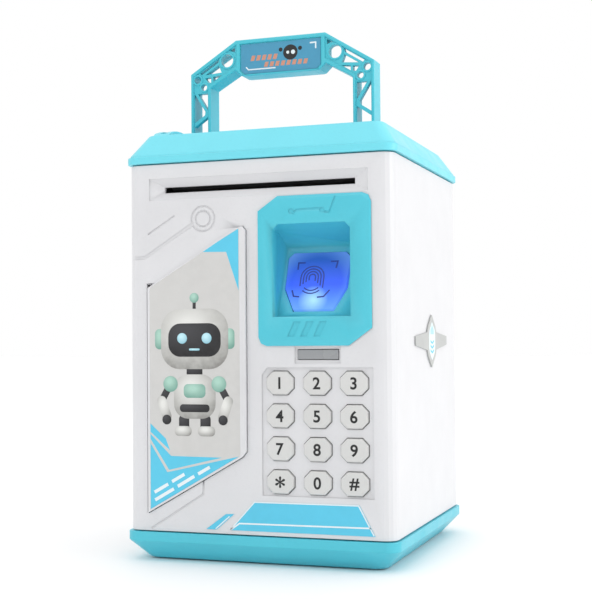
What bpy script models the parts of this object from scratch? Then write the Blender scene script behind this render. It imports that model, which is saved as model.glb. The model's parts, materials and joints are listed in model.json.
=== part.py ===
"""Toy cash machine money box: a keypad safe with a bill feeder, a scanner window and a folding handle.

World frame: origin under the middle of the base, +X to the right of the front face, front facing -Y, +Z up.
Outlines on the front and side faces are in millimetres across and above the lower edge of the body shell.
"""

import math

import bmesh
import bpy
from mathutils import Matrix, Vector

MM = 0.001

# ---- driving dimensions, millimetres ----
BODY_WIDTH = 130.0
BODY_DEPTH = 131.8
BODY_HEIGHT = 171.8
BODY_CORNER = 5.5
WALL = 2.2
RIM_OVERHANG = 1.5
SLOPE_INSET = 8.0
FOOT_HEIGHT = 0.8
BASE_HEIGHT = 14.3
LID_HEIGHT = 14.6
GAP = 0.3
SHADOW_GAP = 0.6
LABEL_GAP = 0.1
LABEL_THICKNESS = 0.15
HANDLE_DEPTH = 11.4
HANDLE_Y = -25.4
BRACE_SETBACK = 0.8
BRACE_DEPTH = 3.2
KEY_TRAVEL = 1.0
WINDOW_TRAVEL = 0.8
ROLLER_RADIUS = 4.0
CELL_RADIUS = 7.1
CELL_LENGTH = 50.0

# ---- levels and faces that follow from them ----
HALF_X = BODY_WIDTH / 2
HALF_Y = BODY_DEPTH / 2
RIM_X = HALF_X + RIM_OVERHANG
RIM_Y = HALF_Y + RIM_OVERHANG
FRONT = -HALF_Y
WALL_BACK = FRONT + WALL
LIP_X = HALF_X - WALL - GAP
LIP_Y = HALF_Y - WALL - GAP
LIP_WALL = 2.0
BODY_TOP = BASE_HEIGHT + BODY_HEIGHT
LID_BOTTOM = BODY_TOP + SHADOW_GAP
LID_TOP = LID_BOTTOM + LID_HEIGHT
BASE_TOP = BASE_HEIGHT - SHADOW_GAP
HANDLE_PIVOT_Z = LID_TOP - HANDLE_DEPTH / 2 - GAP

SMOOTH_ANGLE = math.radians(35)
MERGE = 0.00001

FRONT_PLANE = Matrix(((1, 0, 0, 0), (0, 0, 1, 0), (0, 1, 0, 0), (0, 0, 0, 1)))
SIDE_PLANE = Matrix(((0, 0, 1, 0), (1, 0, 0, 0), (0, 1, 0, 0), (0, 0, 0, 1)))
TOP_PLANE = Matrix.Identity(4)

for old in list(bpy.data.objects):
    bpy.data.objects.remove(old, do_unlink=True)


def new_collection(name):
    collection = bpy.data.collections.new(name)
    bpy.context.scene.collection.children.link(collection)
    return collection


PARTS = new_collection("toy_atm_savings_bank")
CUTTERS = new_collection("cutters")


# ---- materials ----
def material(name, colour, roughness, metallic=0.0):
    made = bpy.data.materials.new(name)
    made.use_nodes = True
    shader = made.node_tree.nodes["Principled BSDF"]
    shader.inputs["Base Color"].default_value = (*colour, 1.0)
    shader.inputs["Roughness"].default_value = roughness
    shader.inputs["Metallic"].default_value = metallic
    made.diffuse_color = (*colour, 1.0)
    return made


CYAN = material("cyan_plastic", (0.13, 0.66, 0.76), 0.38)
WHITE = material("white_plastic", (0.80, 0.80, 0.81), 0.42)
KEY_WHITE = material("key_plastic", (0.84, 0.84, 0.85), 0.40)
PRINT = material("printed_film", (0.16, 0.60, 0.80), 0.45)
BADGE = material("badge_plastic", (0.60, 0.62, 0.63), 0.35)
WINDOW_BLUE = material("window_plastic", (0.05, 0.20, 0.90), 0.15)
LENS_GREY = material("lens_plastic", (0.45, 0.46, 0.47), 0.25)
STEEL = material("steel", (0.55, 0.55, 0.56), 0.30, 1.0)
COPPER = material("copper_wire", (0.70, 0.32, 0.16), 0.35, 1.0)
RUBBER = material("rubber", (0.05, 0.05, 0.05), 0.80)
GREY_RUBBER = material("grey_rubber", (0.35, 0.36, 0.37), 0.75)
BOARD = material("circuit_board", (0.03, 0.22, 0.09), 0.50)
BLACK = material("black_plastic", (0.03, 0.03, 0.03), 0.45)
GEAR_WHITE = material("gear_plastic", (0.78, 0.77, 0.72), 0.45)
CELL_WRAP = material("cell_wrap", (0.05, 0.18, 0.10), 0.35)


# ---- building helpers; every length they take is in millimetres ----
def add_object(name, mesh, finish, is_cutter=False):
    made = bpy.data.objects.new(name, mesh)
    if is_cutter:
        CUTTERS.objects.link(made)
        made.hide_render = True
        made.display_type = "WIRE"
    else:
        PARTS.objects.link(made)
        mesh.materials.append(finish)
    return made


def outline_mesh(name, loops, low, high, plane):
    """A flat outline with its holes, thickened from low to high along the plane's normal."""
    curve = bpy.data.curves.new(name, "CURVE")
    curve.dimensions = "2D"
    curve.fill_mode = "BOTH"
    curve.extrude = abs(high - low) / 2 * MM
    for loop in loops:
        spline = curve.splines.new("POLY")
        spline.points.add(len(loop) - 1)
        for point, (u, v) in zip(spline.points, loop):
            point.co = (u * MM, v * MM, 0.0, 1.0)
        spline.use_cyclic_u = True
    drawn = bpy.data.objects.new(name, curve)
    bpy.context.scene.collection.objects.link(drawn)
    bpy.context.view_layer.update()
    depsgraph = bpy.context.evaluated_depsgraph_get()
    mesh = bpy.data.meshes.new_from_object(drawn.evaluated_get(depsgraph))
    bpy.data.objects.remove(drawn)
    bpy.data.curves.remove(curve)
    mesh.transform(plane @ Matrix.Translation((0, 0, (low + high) / 2 * MM)))
    tidy_mesh(mesh)
    return mesh


def tidy_mesh(mesh):
    work = bmesh.new()
    work.from_mesh(mesh)
    bmesh.ops.remove_doubles(work, verts=work.verts, dist=MERGE)
    bmesh.ops.dissolve_limit(work, angle_limit=0.001, verts=work.verts, edges=work.edges)
    bmesh.ops.recalc_face_normals(work, faces=work.faces)
    work.to_mesh(mesh)
    work.free()


def prism(name, loops, low, high, plane, finish=None):
    mesh = outline_mesh(name, loops, low, high, plane)
    return add_object(name, mesh, finish, is_cutter=finish is None)


def on_front(loop):
    """Heights above the body's lower edge become world heights."""
    return [(x, z + BASE_HEIGHT) for x, z in loop]


def front_plate(name, loops, low, high, finish=None):
    return prism(name, [on_front(loop) for loop in loops], low, high, FRONT_PLANE, finish)


def box(name, low, high, finish=None):
    size = [(b - a) * MM for a, b in zip(low, high)]
    middle = [(a + b) / 2 * MM for a, b in zip(low, high)]
    work = bmesh.new()
    bmesh.ops.create_cube(work, size=1.0)
    bmesh.ops.scale(work, vec=size, verts=work.verts)
    bmesh.ops.translate(work, vec=middle, verts=work.verts)
    mesh = bpy.data.meshes.new(name)
    work.to_mesh(mesh)
    work.free()
    return add_object(name, mesh, finish, is_cutter=finish is None)


def cylinder(name, radius, start, end, finish=None, sides=24):
    start, end = Vector(start) * MM, Vector(end) * MM
    along = end - start
    work = bmesh.new()
    bmesh.ops.create_cone(
        work, cap_ends=True, segments=sides, radius1=radius * MM, radius2=radius * MM, depth=along.length
    )
    turn = Vector((0, 0, 1)).rotation_difference(along).to_matrix().to_4x4()
    bmesh.ops.transform(work, matrix=Matrix.Translation((start + end) / 2) @ turn, verts=work.verts)
    mesh = bpy.data.meshes.new(name)
    work.to_mesh(mesh)
    work.free()
    made = add_object(name, mesh, finish, is_cutter=finish is None)
    round_shading(made)
    return made


def turned(name, profile, place, turn, finish, steps=20):
    """A profile of (radius, height) from top to bottom, turned about its own Z axis."""
    mesh = bpy.data.meshes.new(name)
    points = [(r * MM, 0.0, h * MM) for r, h in profile]
    mesh.from_pydata(points, [(i, i + 1) for i in range(len(points) - 1)], [])
    made = add_object(name, mesh, finish)
    screw = made.modifiers.new("turn", "SCREW")
    screw.steps = steps
    screw.render_steps = steps
    screw.use_merge_vertices = True
    screw.merge_threshold = MERGE
    made.location = Vector(place) * MM
    made.rotation_euler = turn
    return made


def loft(name, rings, finish=None):
    """A closed solid through rings that have the same number of points."""
    work = bmesh.new()
    layers = [[work.verts.new(Vector(p) * MM) for p in ring] for ring in rings]
    count = len(layers[0])
    for below, above in zip(layers, layers[1:]):
        for i in range(count):
            j = (i + 1) % count
            work.faces.new((below[i], below[j], above[j], above[i]))
    work.faces.new(list(reversed(layers[0])))
    work.faces.new(layers[-1])
    bmesh.ops.recalc_face_normals(work, faces=work.faces)
    mesh = bpy.data.meshes.new(name)
    work.to_mesh(mesh)
    work.free()
    return add_object(name, mesh, finish, is_cutter=finish is None)


def rounded_rectangle(half_x, half_y, radius, steps=4):
    points = []
    for quarter, (sx, sy) in enumerate(((1, 1), (-1, 1), (-1, -1), (1, -1))):
        cx, cy = sx * (half_x - radius), sy * (half_y - radius)
        for step in range(steps + 1):
            angle = math.pi / 2 * (quarter + step / steps)
            points.append((cx + radius * math.cos(angle), cy + radius * math.sin(angle)))
    return points


def case_ring(half_x, half_y, radius, z):
    return [(x, y, z) for x, y in rounded_rectangle(half_x, half_y, radius)]


def chamfered(width, height, chamfer, centre=(0.0, 0.0)):
    """An octagon: a rectangle with all four corners cut off."""
    w, h = width / 2, height / 2
    corners = [
        (w, h - chamfer), (w - chamfer, h), (chamfer - w, h), (-w, h - chamfer),
        (-w, chamfer - h), (chamfer - w, -h), (w - chamfer, -h), (w, chamfer - h),
    ]
    return [(centre[0] + x, centre[1] + z) for x, z in corners]


def rectangle(x0, z0, x1, z1):
    return [(x0, z0), (x1, z0), (x1, z1), (x0, z1)]


def circle(centre, radius, sides=20):
    return [
        (
            centre[0] + radius * math.cos(2 * math.pi * i / sides),
            centre[1] + radius * math.sin(2 * math.pi * i / sides),
        )
        for i in range(sides)
    ]


def mirrored(loop):
    return [(-x, z) for x, z in reversed(loop)]


def offset_loop(loop, distance):
    """Moves every side of a polygon outwards by distance."""
    area = sum(a[0] * b[1] - b[0] * a[1] for a, b in zip(loop, loop[1:] + loop[:1]))
    sign = 1.0 if area > 0 else -1.0
    result = []
    for before, here, after in zip(loop[-1:] + loop[:-1], loop, loop[1:] + loop[:1]):
        into = (Vector(here) - Vector(before)).normalized()
        out = (Vector(after) - Vector(here)).normalized()
        normal_in = Vector((into.y, -into.x)) * sign
        normal_out = Vector((out.y, -out.x)) * sign
        mitre = (normal_in + normal_out).normalized()
        result.append(tuple(Vector(here) + mitre * distance / max(mitre.dot(normal_in), 0.3)))
    return result


def channel(points, width):
    """The outline of a groove of one width along a bent line."""
    left, right = [], []
    for i, point in enumerate(points):
        here = Vector(point)
        into = (here - Vector(points[max(i - 1, 0)])).normalized()
        out = (Vector(points[min(i + 1, len(points) - 1)]) - here).normalized()
        along = (into + out).normalized()
        across = Vector((-along.y, along.x))
        reach = width / 2 / max(across.dot(Vector((-out.y, out.x)) if out.length else across), 0.5)
        left.append(tuple(here + across * reach))
        right.append(tuple(here - across * reach))
    return left + right[::-1]


def boolean(target, operand, operation):
    change = target.modifiers.new(operand.name, "BOOLEAN")
    change.operation = operation
    change.solver = "EXACT"
    change.object = operand


def cut(target, *cutters):
    for cutter in cutters:
        boolean(target, cutter, "DIFFERENCE")


def add(target, *additions):
    for addition in additions:
        boolean(target, addition, "UNION")


def round_shading(target):
    target.data.shade_smooth()
    target.data.set_sharp_from_angle(angle=SMOOTH_ANGLE)


def origin_on_axis(target, point):
    """Puts the object's origin on its joint's axis and leaves its shape where it is."""
    point = Vector(point) * MM
    target.data.transform(Matrix.Translation(-point))
    target.location = point


# ---- case: body shell, top cover and base tray ----
DOOR_OUTLINE = [
    (-54.2, 8.4), (-6.6, 35.4), (-4.7, 38.0), (-4.7, 139.2), (-6.2, 141.0), (-9.0, 140.4), (-54.2, 113.6),
]
DOOR_GAP = 0.35
DOOR_STOP_FROM_X = -46.0
DOOR_HINGE_X = -52.2
DOOR_HINGE_Y = FRONT + 1.3
SLOT_RECESS = (-53.7, 154.9, 53.7, 165.2)
SLOT = (-47.0, 158.5, 47.0, 161.3)
SLOT_DEPTH = 3.0
SLOT_BOSS_BACK = FRONT + 4.7
KEY_COLUMNS = (11.5, 29.2, 46.5)
KEY_ROWS = (69.2, 54.3, 39.4, 24.5)
KEY_NAMES = ("key_1", "key_2", "key_3", "key_4", "key_5", "key_6", "key_7", "key_8", "key_9",
             "key_star", "key_0", "key_hash")
KEY_WIDTH, KEY_HEIGHT, KEY_CHAMFER = 12.8, 10.5, 3.0
KEYPAD_RECESS = [(2.6, 18.0), (55.4, 18.0), (55.4, 76.3), (5.2, 76.3), (2.6, 72.8)]
KEYPAD_RECESS_DEPTH = 0.8
BEZEL_OPENING = (8.6, 99.2, 45.6, 141.4)
TUB_WALL = 1.2
TUB_LEDGE = 5.0
TUB_APEX = (19.5, 132.4)
INDICATOR_RECESS = (18.6, 78.0, 40.5, 85.7)
INDICATOR_LENS = (20.0, 79.9, 39.2, 84.2)
GROOVE_DEPTH = 0.45
RING_CENTRE = (-26.1, 145.4)
POST_PLACES = ((-52.0, -50.0), (52.0, -50.0), (-52.0, 52.0), (52.0, 52.0))
POST_RADIUS = 3.4
POST_LOW, POST_HIGH = 19.0, 42.0
LATCH_Z = BASE_HEIGHT + 91.5
LATCH_Y = -58.5


def key_centres():
    return [(x, z) for z in KEY_ROWS for x in KEY_COLUMNS]


def tub_profile(grow=0.0):
    """The scanner recess seen from the side: (depth behind the front face, height above the body's edge)."""
    bottom, top = BEZEL_OPENING[1], BEZEL_OPENING[3]
    profile = [(0.0, bottom), (TUB_LEDGE, bottom), TUB_APEX, (0.0, top)]
    if grow:
        profile = offset_loop(profile, grow)
    return profile


def side_profile(profile):
    """Depths behind the front face and heights above the body's edge become world Y and Z."""
    return [(FRONT + depth, BASE_HEIGHT + height) for depth, height in profile]


def make_body_shell():
    mesh = bpy.data.meshes.new("body_shell")
    work = bmesh.new()
    rings = [
        [work.verts.new(Vector(p) * MM) for p in case_ring(HALF_X, HALF_Y, BODY_CORNER, z)]
        for z in (BASE_HEIGHT, BODY_TOP)
    ]
    count = len(rings[0])
    for i in range(count):
        j = (i + 1) % count
        work.faces.new((rings[0][i], rings[0][j], rings[1][j], rings[1][i]))
    work.to_mesh(mesh)
    work.free()
    shell = add_object("body_shell", mesh, WHITE)
    walls = shell.modifiers.new("walls", "SOLIDIFY")
    walls.thickness = WALL * MM
    walls.offset = -1
    walls.use_even_offset = True

    inside = WALL_BACK - 0.5
    boss_top = SLOT_RECESS[3] + 2.2 + BASE_HEIGHT
    boss_low = SLOT_RECESS[1] - 2.2 + BASE_HEIGHT
    add(shell, box("slot_boss", (-50.0, inside, boss_low), (50.0, SLOT_BOSS_BACK, boss_top)))
    for name, low, high in (("hinge_boss_upper", 118.6, 123.6), ("hinge_boss_lower", 4.3, 7.4)):
        add(shell, box(name, (-56.0, inside, low + BASE_HEIGHT), (-48.8, FRONT + 4.6, high + BASE_HEIGHT)))
    for i, (x, y) in enumerate(POST_PLACES):
        side = math.copysign(1.0, x)
        web = sorted((x, side * (HALF_X - WALL + 0.5)))
        add(shell, cylinder(f"post_{i}", POST_RADIUS, (x, y, POST_LOW), (x, y, POST_HIGH), sides=16))
        add(shell, box(f"post_web_{i}", (web[0], y - 0.9, POST_LOW), (web[1], y + 0.9, POST_HIGH)))
        cut(shell, cylinder(f"post_pilot_{i}", 1.6, (x, y, POST_LOW - 1), (x, y, 38.0), sides=12))

    cut(shell, front_plate("door_cutter", [offset_loop(DOOR_OUTLINE, DOOR_GAP)], FRONT - 1, WALL_BACK + 1))
    swing_room = rectangle(-55.2, 8.2, -54.0, 113.8)
    cut(shell, front_plate("door_edge_cutter", [swing_room], FRONT - 1, WALL_BACK + 1))
    upper = side_profile([(-1.0, 116.6), (0.0, 116.0), (2.8, 114.3), (2.8, 110.0), (-1.0, 110.0)])
    lower = side_profile([(-1.0, 10.3), (0.0, 9.8), (2.8, 8.2), (2.8, 12.0), (-1.0, 12.0)])
    cut(shell, prism("swing_relief_upper", [upper], -55.2, -51.0, SIDE_PLANE))
    cut(shell, prism("swing_relief_lower", [lower], -54.6, -50.8, SIDE_PLANE))
    add(shell, door_stop())
    cut(shell, slot_funnel(), front_plate("slot_cutter", [rectangle(*SLOT)], FRONT, SLOT_BOSS_BACK + 1))
    opening = (BEZEL_OPENING[0] - TUB_WALL - 0.4, BEZEL_OPENING[1] - TUB_WALL - 0.6,
               BEZEL_OPENING[2] + TUB_WALL + 0.4, BEZEL_OPENING[3] + TUB_WALL + 0.8)
    cut(shell, front_plate("bezel_cutter", [rectangle(*opening)], FRONT - 1, WALL_BACK + 1))
    cut(shell, front_plate("keypad_cutter", [KEYPAD_RECESS], FRONT - 1, FRONT + KEYPAD_RECESS_DEPTH))
    for name, centre in zip(KEY_NAMES, key_centres()):
        hole = chamfered(KEY_WIDTH + 0.8, KEY_HEIGHT + 0.8, KEY_CHAMFER + 0.2, centre)
        cut(shell, front_plate(f"{name}_cutter", [hole], FRONT - 1, WALL_BACK + 1))
    cut(shell, front_plate("indicator_recess", [rectangle(*INDICATOR_RECESS)], FRONT - 1, FRONT + 0.8))
    lens_hole = offset_loop(rectangle(*INDICATOR_LENS), GAP)
    cut(shell, front_plate("indicator_hole", [lens_hole], FRONT - 1, WALL_BACK + 1))
    for name, width, points in (
        ("trace_upper", 1.7, [(-66.0, 127.8), (-56.0, 128.0), (-31.4, 143.2)]),
        ("trace_short", 0.9, [(-54.4, 139.0), (-40.6, 147.3)]),
        ("trace_lower", 1.0, [(-26.6, 27.0), (-26.6, 17.8), (-53.2, 0.9)]),
    ):
        cut(shell, front_plate(name, [channel(points, width)], FRONT - 1, FRONT + GROOVE_DEPTH))
    for name, radius in (("trace_ring", 6.3), ("trace_inner_ring", 4.1)):
        ring = [circle(RING_CENTRE, radius, 28), circle(RING_CENTRE, radius - 0.9, 28)]
        cut(shell, front_plate(name, ring, FRONT - 1, FRONT + GROOVE_DEPTH))
    for name, low, high in (("pin_hole_upper", 112.0, 122.0), ("pin_hole_lower", 5.2, 14.0)):
        start = (DOOR_HINGE_X, DOOR_HINGE_Y, low + BASE_HEIGHT)
        end = (DOOR_HINGE_X, DOOR_HINGE_Y, high + BASE_HEIGHT)
        cut(shell, cylinder(name, 0.95, start, end, sides=12))
    round_shading(shell)
    return shell


def door_stop():
    """A ledge behind the door's free edges that the closed door rests against."""
    around = front_plate("door_stop", [offset_loop(DOOR_OUTLINE, 1.7)], WALL_BACK - 0.5, WALL_BACK + 1.4)
    opening = offset_loop(DOOR_OUTLINE, -1.3)
    cut(around, front_plate("door_stop_hole", [opening], WALL_BACK - 1, WALL_BACK + 2))
    seat = offset_loop(DOOR_OUTLINE, DOOR_GAP)
    cut(around, front_plate("door_stop_seat", [seat], WALL_BACK - 1, WALL_BACK + GAP))
    hinge_side = rectangle(-60.0, 0.0, DOOR_STOP_FROM_X, 160.0)
    cut(around, front_plate("door_stop_end", [hinge_side], WALL_BACK - 1, WALL_BACK + 2))
    return around


def slot_funnel():
    """The bevelled mouth of the bill slot, wide at the front face and slot-sized at its back."""
    front, back = SLOT_RECESS, SLOT
    rings = []
    for depth, (x0, z0, x1, z1) in ((-0.4, front), (0.4, front), (SLOT_DEPTH, back)):
        z0, z1 = z0 + BASE_HEIGHT, z1 + BASE_HEIGHT
        y = FRONT + depth
        rings.append([(x0, y, z0), (x1, y, z0), (x1, y, z1), (x0, y, z1)])
    return loft("slot_funnel", rings)


def make_top_cover():
    """A hollow lid with a sloped edge, a well that the folded handle drops into, and a coin slot."""
    top_x, top_y = RIM_X - SLOPE_INSET, RIM_Y - SLOPE_INSET
    cover = loft("top_cover", [
        case_ring(LIP_X, LIP_Y, 3.0, LID_BOTTOM - 4.0),
        case_ring(LIP_X, LIP_Y, 3.0, LID_BOTTOM),
        case_ring(RIM_X, RIM_Y, 6.5, LID_BOTTOM),
        case_ring(RIM_X, RIM_Y, 6.5, LID_BOTTOM + 3.3),
        case_ring(RIM_X - 0.9, RIM_Y - 0.9, 6.0, LID_BOTTOM + 3.7),
        case_ring(RIM_X - 1.0, RIM_Y - 1.0, 6.0, LID_BOTTOM + 4.3),
        case_ring(top_x, top_y, 5.0, LID_TOP),
    ], CYAN)
    cut(cover, loft("lid_hollow", [
        case_ring(LIP_X - LIP_WALL, LIP_Y - LIP_WALL, 2.0, LID_BOTTOM - 5.0),
        case_ring(LIP_X - LIP_WALL, LIP_Y - LIP_WALL, 2.0, LID_BOTTOM + 4.0),
        case_ring(top_x - 1.6, top_y - 1.6, 3.0, LID_TOP - 1.8),
    ]))
    well_floor = HANDLE_PIVOT_Z - HANDLE_DEPTH / 2 - 0.4
    well = handle_well()
    walls = offset_loop(well, 1.8)
    add(cover, prism("well_walls", [walls], well_floor - 1.8, LID_TOP - 0.5, TOP_PLANE))
    cut(cover, prism("well_cutter", [well], well_floor, LID_TOP + 1, TOP_PLANE))
    hump = [(-39.5 + 14.6 * math.cos(a), LID_TOP - 0.6 + 5.0 * math.sin(a))
            for a in (math.pi * i / 12 for i in range(13))]
    add(cover, prism("coin_hump", [hump], -57.4, -49.0, SIDE_PLANE))
    cut(cover, box("coin_slot", (-54.8, -52.0, LID_TOP - 4.0), (-51.6, -26.8, LID_TOP + 6.0)))
    for side in (-1, 1):
        start, end = (side * 33.5, HANDLE_Y, HANDLE_PIVOT_Z), (side * 49.2, HANDLE_Y, HANDLE_PIVOT_Z)
        cut(cover, cylinder(f"pivot_hole_{side}", 1.65, start, end, sides=16))
    round_shading(cover)
    return cover


def handle_well():
    """The well's edge seen from above: the folded handle's outline with room around it and a finger notch."""
    front = HANDLE_Y - HANDLE_DEPTH / 2 - 0.5

    def folded(height):
        return HANDLE_Y + height + BASE_HEIGHT - HANDLE_PIVOT_Z

    half = [(20.0, folded(218.2)), (23.2, folded(221.0)), (36.2, folded(213.5)), (36.2, front), (48.0, front),
            (48.0, folded(221.8)), (23.4, folded(237.2)), (12.0, folded(237.2)), (9.0, folded(243.0))]
    return half + [(-x, y) for x, y in reversed(half)]


BAY_X = 27.5
BAY_Y = (-8.0, 38.4)
COVER_X = 29.0
COVER_Y = (-19.0, 40.4)
BAY_ROOF = 18.4
TRAY_FLOOR = 3.0
COVER_SCREW = (0.0, -14.0)


def make_base_tray():
    """The tray under the body: sloped sides, four moulded feet, screw bosses and the battery bay."""
    low_x, low_y = RIM_X - SLOPE_INSET, RIM_Y - SLOPE_INSET
    tray = loft("base_tray", [
        case_ring(low_x, low_y, 5.0, FOOT_HEIGHT),
        case_ring(RIM_X, RIM_Y, 6.5, BASE_HEIGHT - 4.9),
        case_ring(RIM_X, RIM_Y, 6.5, BASE_TOP),
        case_ring(LIP_X, LIP_Y, 3.0, BASE_TOP),
        case_ring(LIP_X, LIP_Y, 3.0, BASE_TOP + 4.0),
    ], CYAN)
    cut(tray, loft("tray_hollow", [
        case_ring(low_x - 2.2, low_y - 2.2, 3.0, TRAY_FLOOR),
        case_ring(LIP_X - LIP_WALL, LIP_Y - LIP_WALL, 2.0, BASE_HEIGHT - 5.8),
        case_ring(LIP_X - LIP_WALL, LIP_Y - LIP_WALL, 2.0, BASE_TOP + 5.0),
    ]))
    for i, (x, y) in enumerate(POST_PLACES):
        add(tray, cylinder(f"boss_{i}", 4.2, (x, y, 1.5), (x, y, POST_LOW - 0.4), sides=20))
        foot_x, foot_y = math.copysign(40.0, x), math.copysign(48.0, y)
        add(tray, cylinder(f"foot_{i}", 5.0, (foot_x, foot_y, 0.0), (foot_x, foot_y, 1.6), sides=24))
    wall_x, wall_y = COVER_X + 2.4, (COVER_Y[0] - 2.4, COVER_Y[1] + 2.4)
    add(tray, box("cover_seat", (-wall_x, wall_y[0], 1.5), (wall_x, BAY_Y[0], TRAY_FLOOR + 1.8)))
    add(tray, box("bay_block", (-wall_x, BAY_Y[0] - 1.8, 1.4), (wall_x, wall_y[1], BAY_ROOF + 1.8)))
    x, y = COVER_SCREW
    add(tray, cylinder("cover_screw_boss", 4.0, (x, y, 3.4), (x, y, 13.0), sides=20))
    rib = [(-2.0, -60.0), (-0.5, -60.0), (-0.5, -41.9), (57.0, -41.9), (57.0, -40.4), (-2.0, -40.4)]
    add(tray, prism("divider_rib", [rib], TRAY_FLOOR - 0.5, 8.7, TOP_PLANE))
    recess = (COVER_X + 0.4, COVER_Y[0] - 0.4, COVER_Y[1] + 0.4)
    cut(tray, box("cover_recess", (-recess[0], recess[1], -1.0), (recess[0], recess[2], TRAY_FLOOR)))
    cut(tray, box("bay_cutter", (-BAY_X, BAY_Y[0], 2.0), (BAY_X, BAY_Y[1], BAY_ROOF)))
    cut(tray, cylinder("cover_pilot", 1.6, (x, y, 2.0), (x, y, 12.0), sides=12))
    for i, (x, y) in enumerate(POST_PLACES):
        cut(tray, cylinder(f"screw_hole_{i}", 1.7, (x, y, 0.0), (x, y, POST_LOW + 1), sides=12))
        cut(tray, cylinder(f"counterbore_{i}", 3.3, (x, y, -1.0), (x, y, 8.0), sides=16))
    for i in range(5):
        x = 16.0 + 6.0 * i
        cut(tray, box(f"sound_slot_{i}", (x, -56.0, -1.0), (x + 2.2, -46.0, 5.0)))
    round_shading(tray)
    return tray


def make_base_screws():
    """Pan-head screws that pull the tray, the body and the posts together."""
    shank = [(0.0, 22.0), (0.5, 22.0), (1.35, 20.0), (1.35, 0.0)]
    profile = shank + [(2.8, 0.0), (2.8, -1.1), (2.1, -1.8), (0.0, -1.8)]
    names = (
        "base_screw_front_left", "base_screw_front_right", "base_screw_rear_left", "base_screw_rear_right",
    )
    for name, (x, y) in zip(names, POST_PLACES):
        round_shading(turned(name, profile, (x, y, 7.7), (0, 0, 0), STEEL, steps=12))


# ---- front fittings ----
def make_scanner_bezel():
    """A raised frame with a wedge-shaped tub behind it that holds the scanner window."""
    outer = [(1.4, 90.0), (2.6, 87.2), (5.4, 86.0), (44.4, 86.0), (55.2, 93.8), (55.2, 150.2), (54.0, 153.0),
             (51.2, 154.2), (11.0, 154.2), (1.4, 147.6)]
    inset = offset_loop(outer, -1.4)
    front = FRONT - 1.4
    bezel = loft("scanner_bezel", [
        [(x, front, z) for x, z in on_front(inset)],
        [(x, front + 0.7, z) for x, z in on_front(outer)],
        [(x, FRONT - GAP, z) for x, z in on_front(outer)],
    ], CYAN)
    x0, x1, z1 = BEZEL_OPENING[0], BEZEL_OPENING[2], BEZEL_OPENING[3]
    grown = [(max(depth, -0.8), height) for depth, height in tub_profile(TUB_WALL)]
    add(bezel, prism("tub_walls", [side_profile(grown)], x0 - TUB_WALL, x1 + TUB_WALL, SIDE_PLANE))
    hollow = [(-3.0, BEZEL_OPENING[1]), *tub_profile()[1:], (-3.0, BEZEL_OPENING[3])]
    cut(bezel, prism("tub_hollow", [side_profile(hollow)], x0, x1, SIDE_PLANE))
    corners = [(x0 - 0.6, z1 + 0.6), (x0 + 3.2, z1 + 0.6), (x0 - 0.6, z1 - 3.2)]
    middle = (x0 + x1) / 2
    for name, loop in (("corner_left", corners), ("corner_right", [(2 * middle - x, z) for x, z in corners])):
        add(bezel, front_plate(name, [loop], front, FRONT + 6.0))
    window_hole = plate_prism("window_hole", offset_loop(window_outline(), 0.4), -3.0, 3.0)
    cut(bezel, window_hole)
    for i in range(3):
        x = 15.6 + 6.2 * i
        slant = [(x, 90.2), (x + 3.2, 90.2), (x + 6.4, 97.0), (x + 3.2, 97.0)]
        cut(bezel, front_plate(f"slash_{i}", [slant], front - 1, front + 0.5))
    trace = channel([(18.6, 145.6), (20.6, 147.6), (31.0, 147.8)], 0.9)
    cut(bezel, front_plate("bezel_trace_left", [trace], front - 1, front + 0.4))
    trace = channel([(33.6, 146.0), (36.0, 146.0), (39.0, 153.0)], 0.9)
    cut(bezel, front_plate("bezel_trace_right", [trace], front - 1, front + 0.4))
    for i, x in enumerate((17.8, 32.6)):
        cut(bezel, front_plate(f"bezel_dot_{i}", [circle((x, 147.0), 1.3, 12)], front - 1, front + 0.5))
    round_shading(bezel)
    return bezel


PLATE_FOOT = (TUB_LEDGE, BEZEL_OPENING[1])
PLATE_ANGLE = math.atan2(TUB_APEX[1] - PLATE_FOOT[1], TUB_APEX[0] - PLATE_FOOT[0])
WINDOW_X = 25.6
WINDOW_MIDDLE = 17.8


def plate_matrix():
    """Local X across, local Y up the sloping plate, local Z outwards from it, from the plate's foot."""
    up = Vector((0.0, math.cos(PLATE_ANGLE), math.sin(PLATE_ANGLE)))
    out = Vector((1, 0, 0)).cross(up)
    rows = Matrix(((1, up.x, out.x), (0, up.y, out.y), (0, up.z, out.z))).to_4x4()
    foot = Vector((0.0, FRONT + PLATE_FOOT[0], BASE_HEIGHT + PLATE_FOOT[1])) * MM
    return Matrix.Translation(foot) @ rows


def window_outline():
    """The window's outline on the sloping plate: (across, up the slope)."""
    half = [(9.6, 3.0), (14.8, 14.0), (15.1, 29.8), (12.6, 32.4)]
    right = [(WINDOW_X + x, s) for x, s in half]
    left = [(WINDOW_X - x, s) for x, s in reversed(half)]
    return right + left


def plate_prism(name, loop, low, high, finish=None):
    mesh = outline_mesh(name, [loop], low, high, plate_matrix())
    return add_object(name, mesh, finish, is_cutter=finish is None)


def make_scanner_window():
    window = plate_prism("scanner_window", window_outline(), -2.0, 0.9, WINDOW_BLUE)
    place = plate_matrix() @ (Vector((WINDOW_X, WINDOW_MIDDLE, 0)) * MM)
    origin_on_axis(window, place / MM)
    return window


def make_scanner_board():
    """The lamp and sensor board behind the window, parallel to the sloping plate."""
    outline = rectangle(12.0, 4.5, 39.2, 31.0)
    board = plate_prism("scanner_board", outline, -4.4, -3.3, BOARD)
    lamps = [circle((x, 10.0), 1.3, 12) for x in (20.0, 25.6, 31.2)]
    for i, lamp in enumerate(lamps):
        mesh = outline_mesh(f"lamp_{i}", [lamp], -5.4, -4.2, plate_matrix())
        add(board, add_object(f"lamp_{i}", mesh, None, is_cutter=True))
    return board


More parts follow.
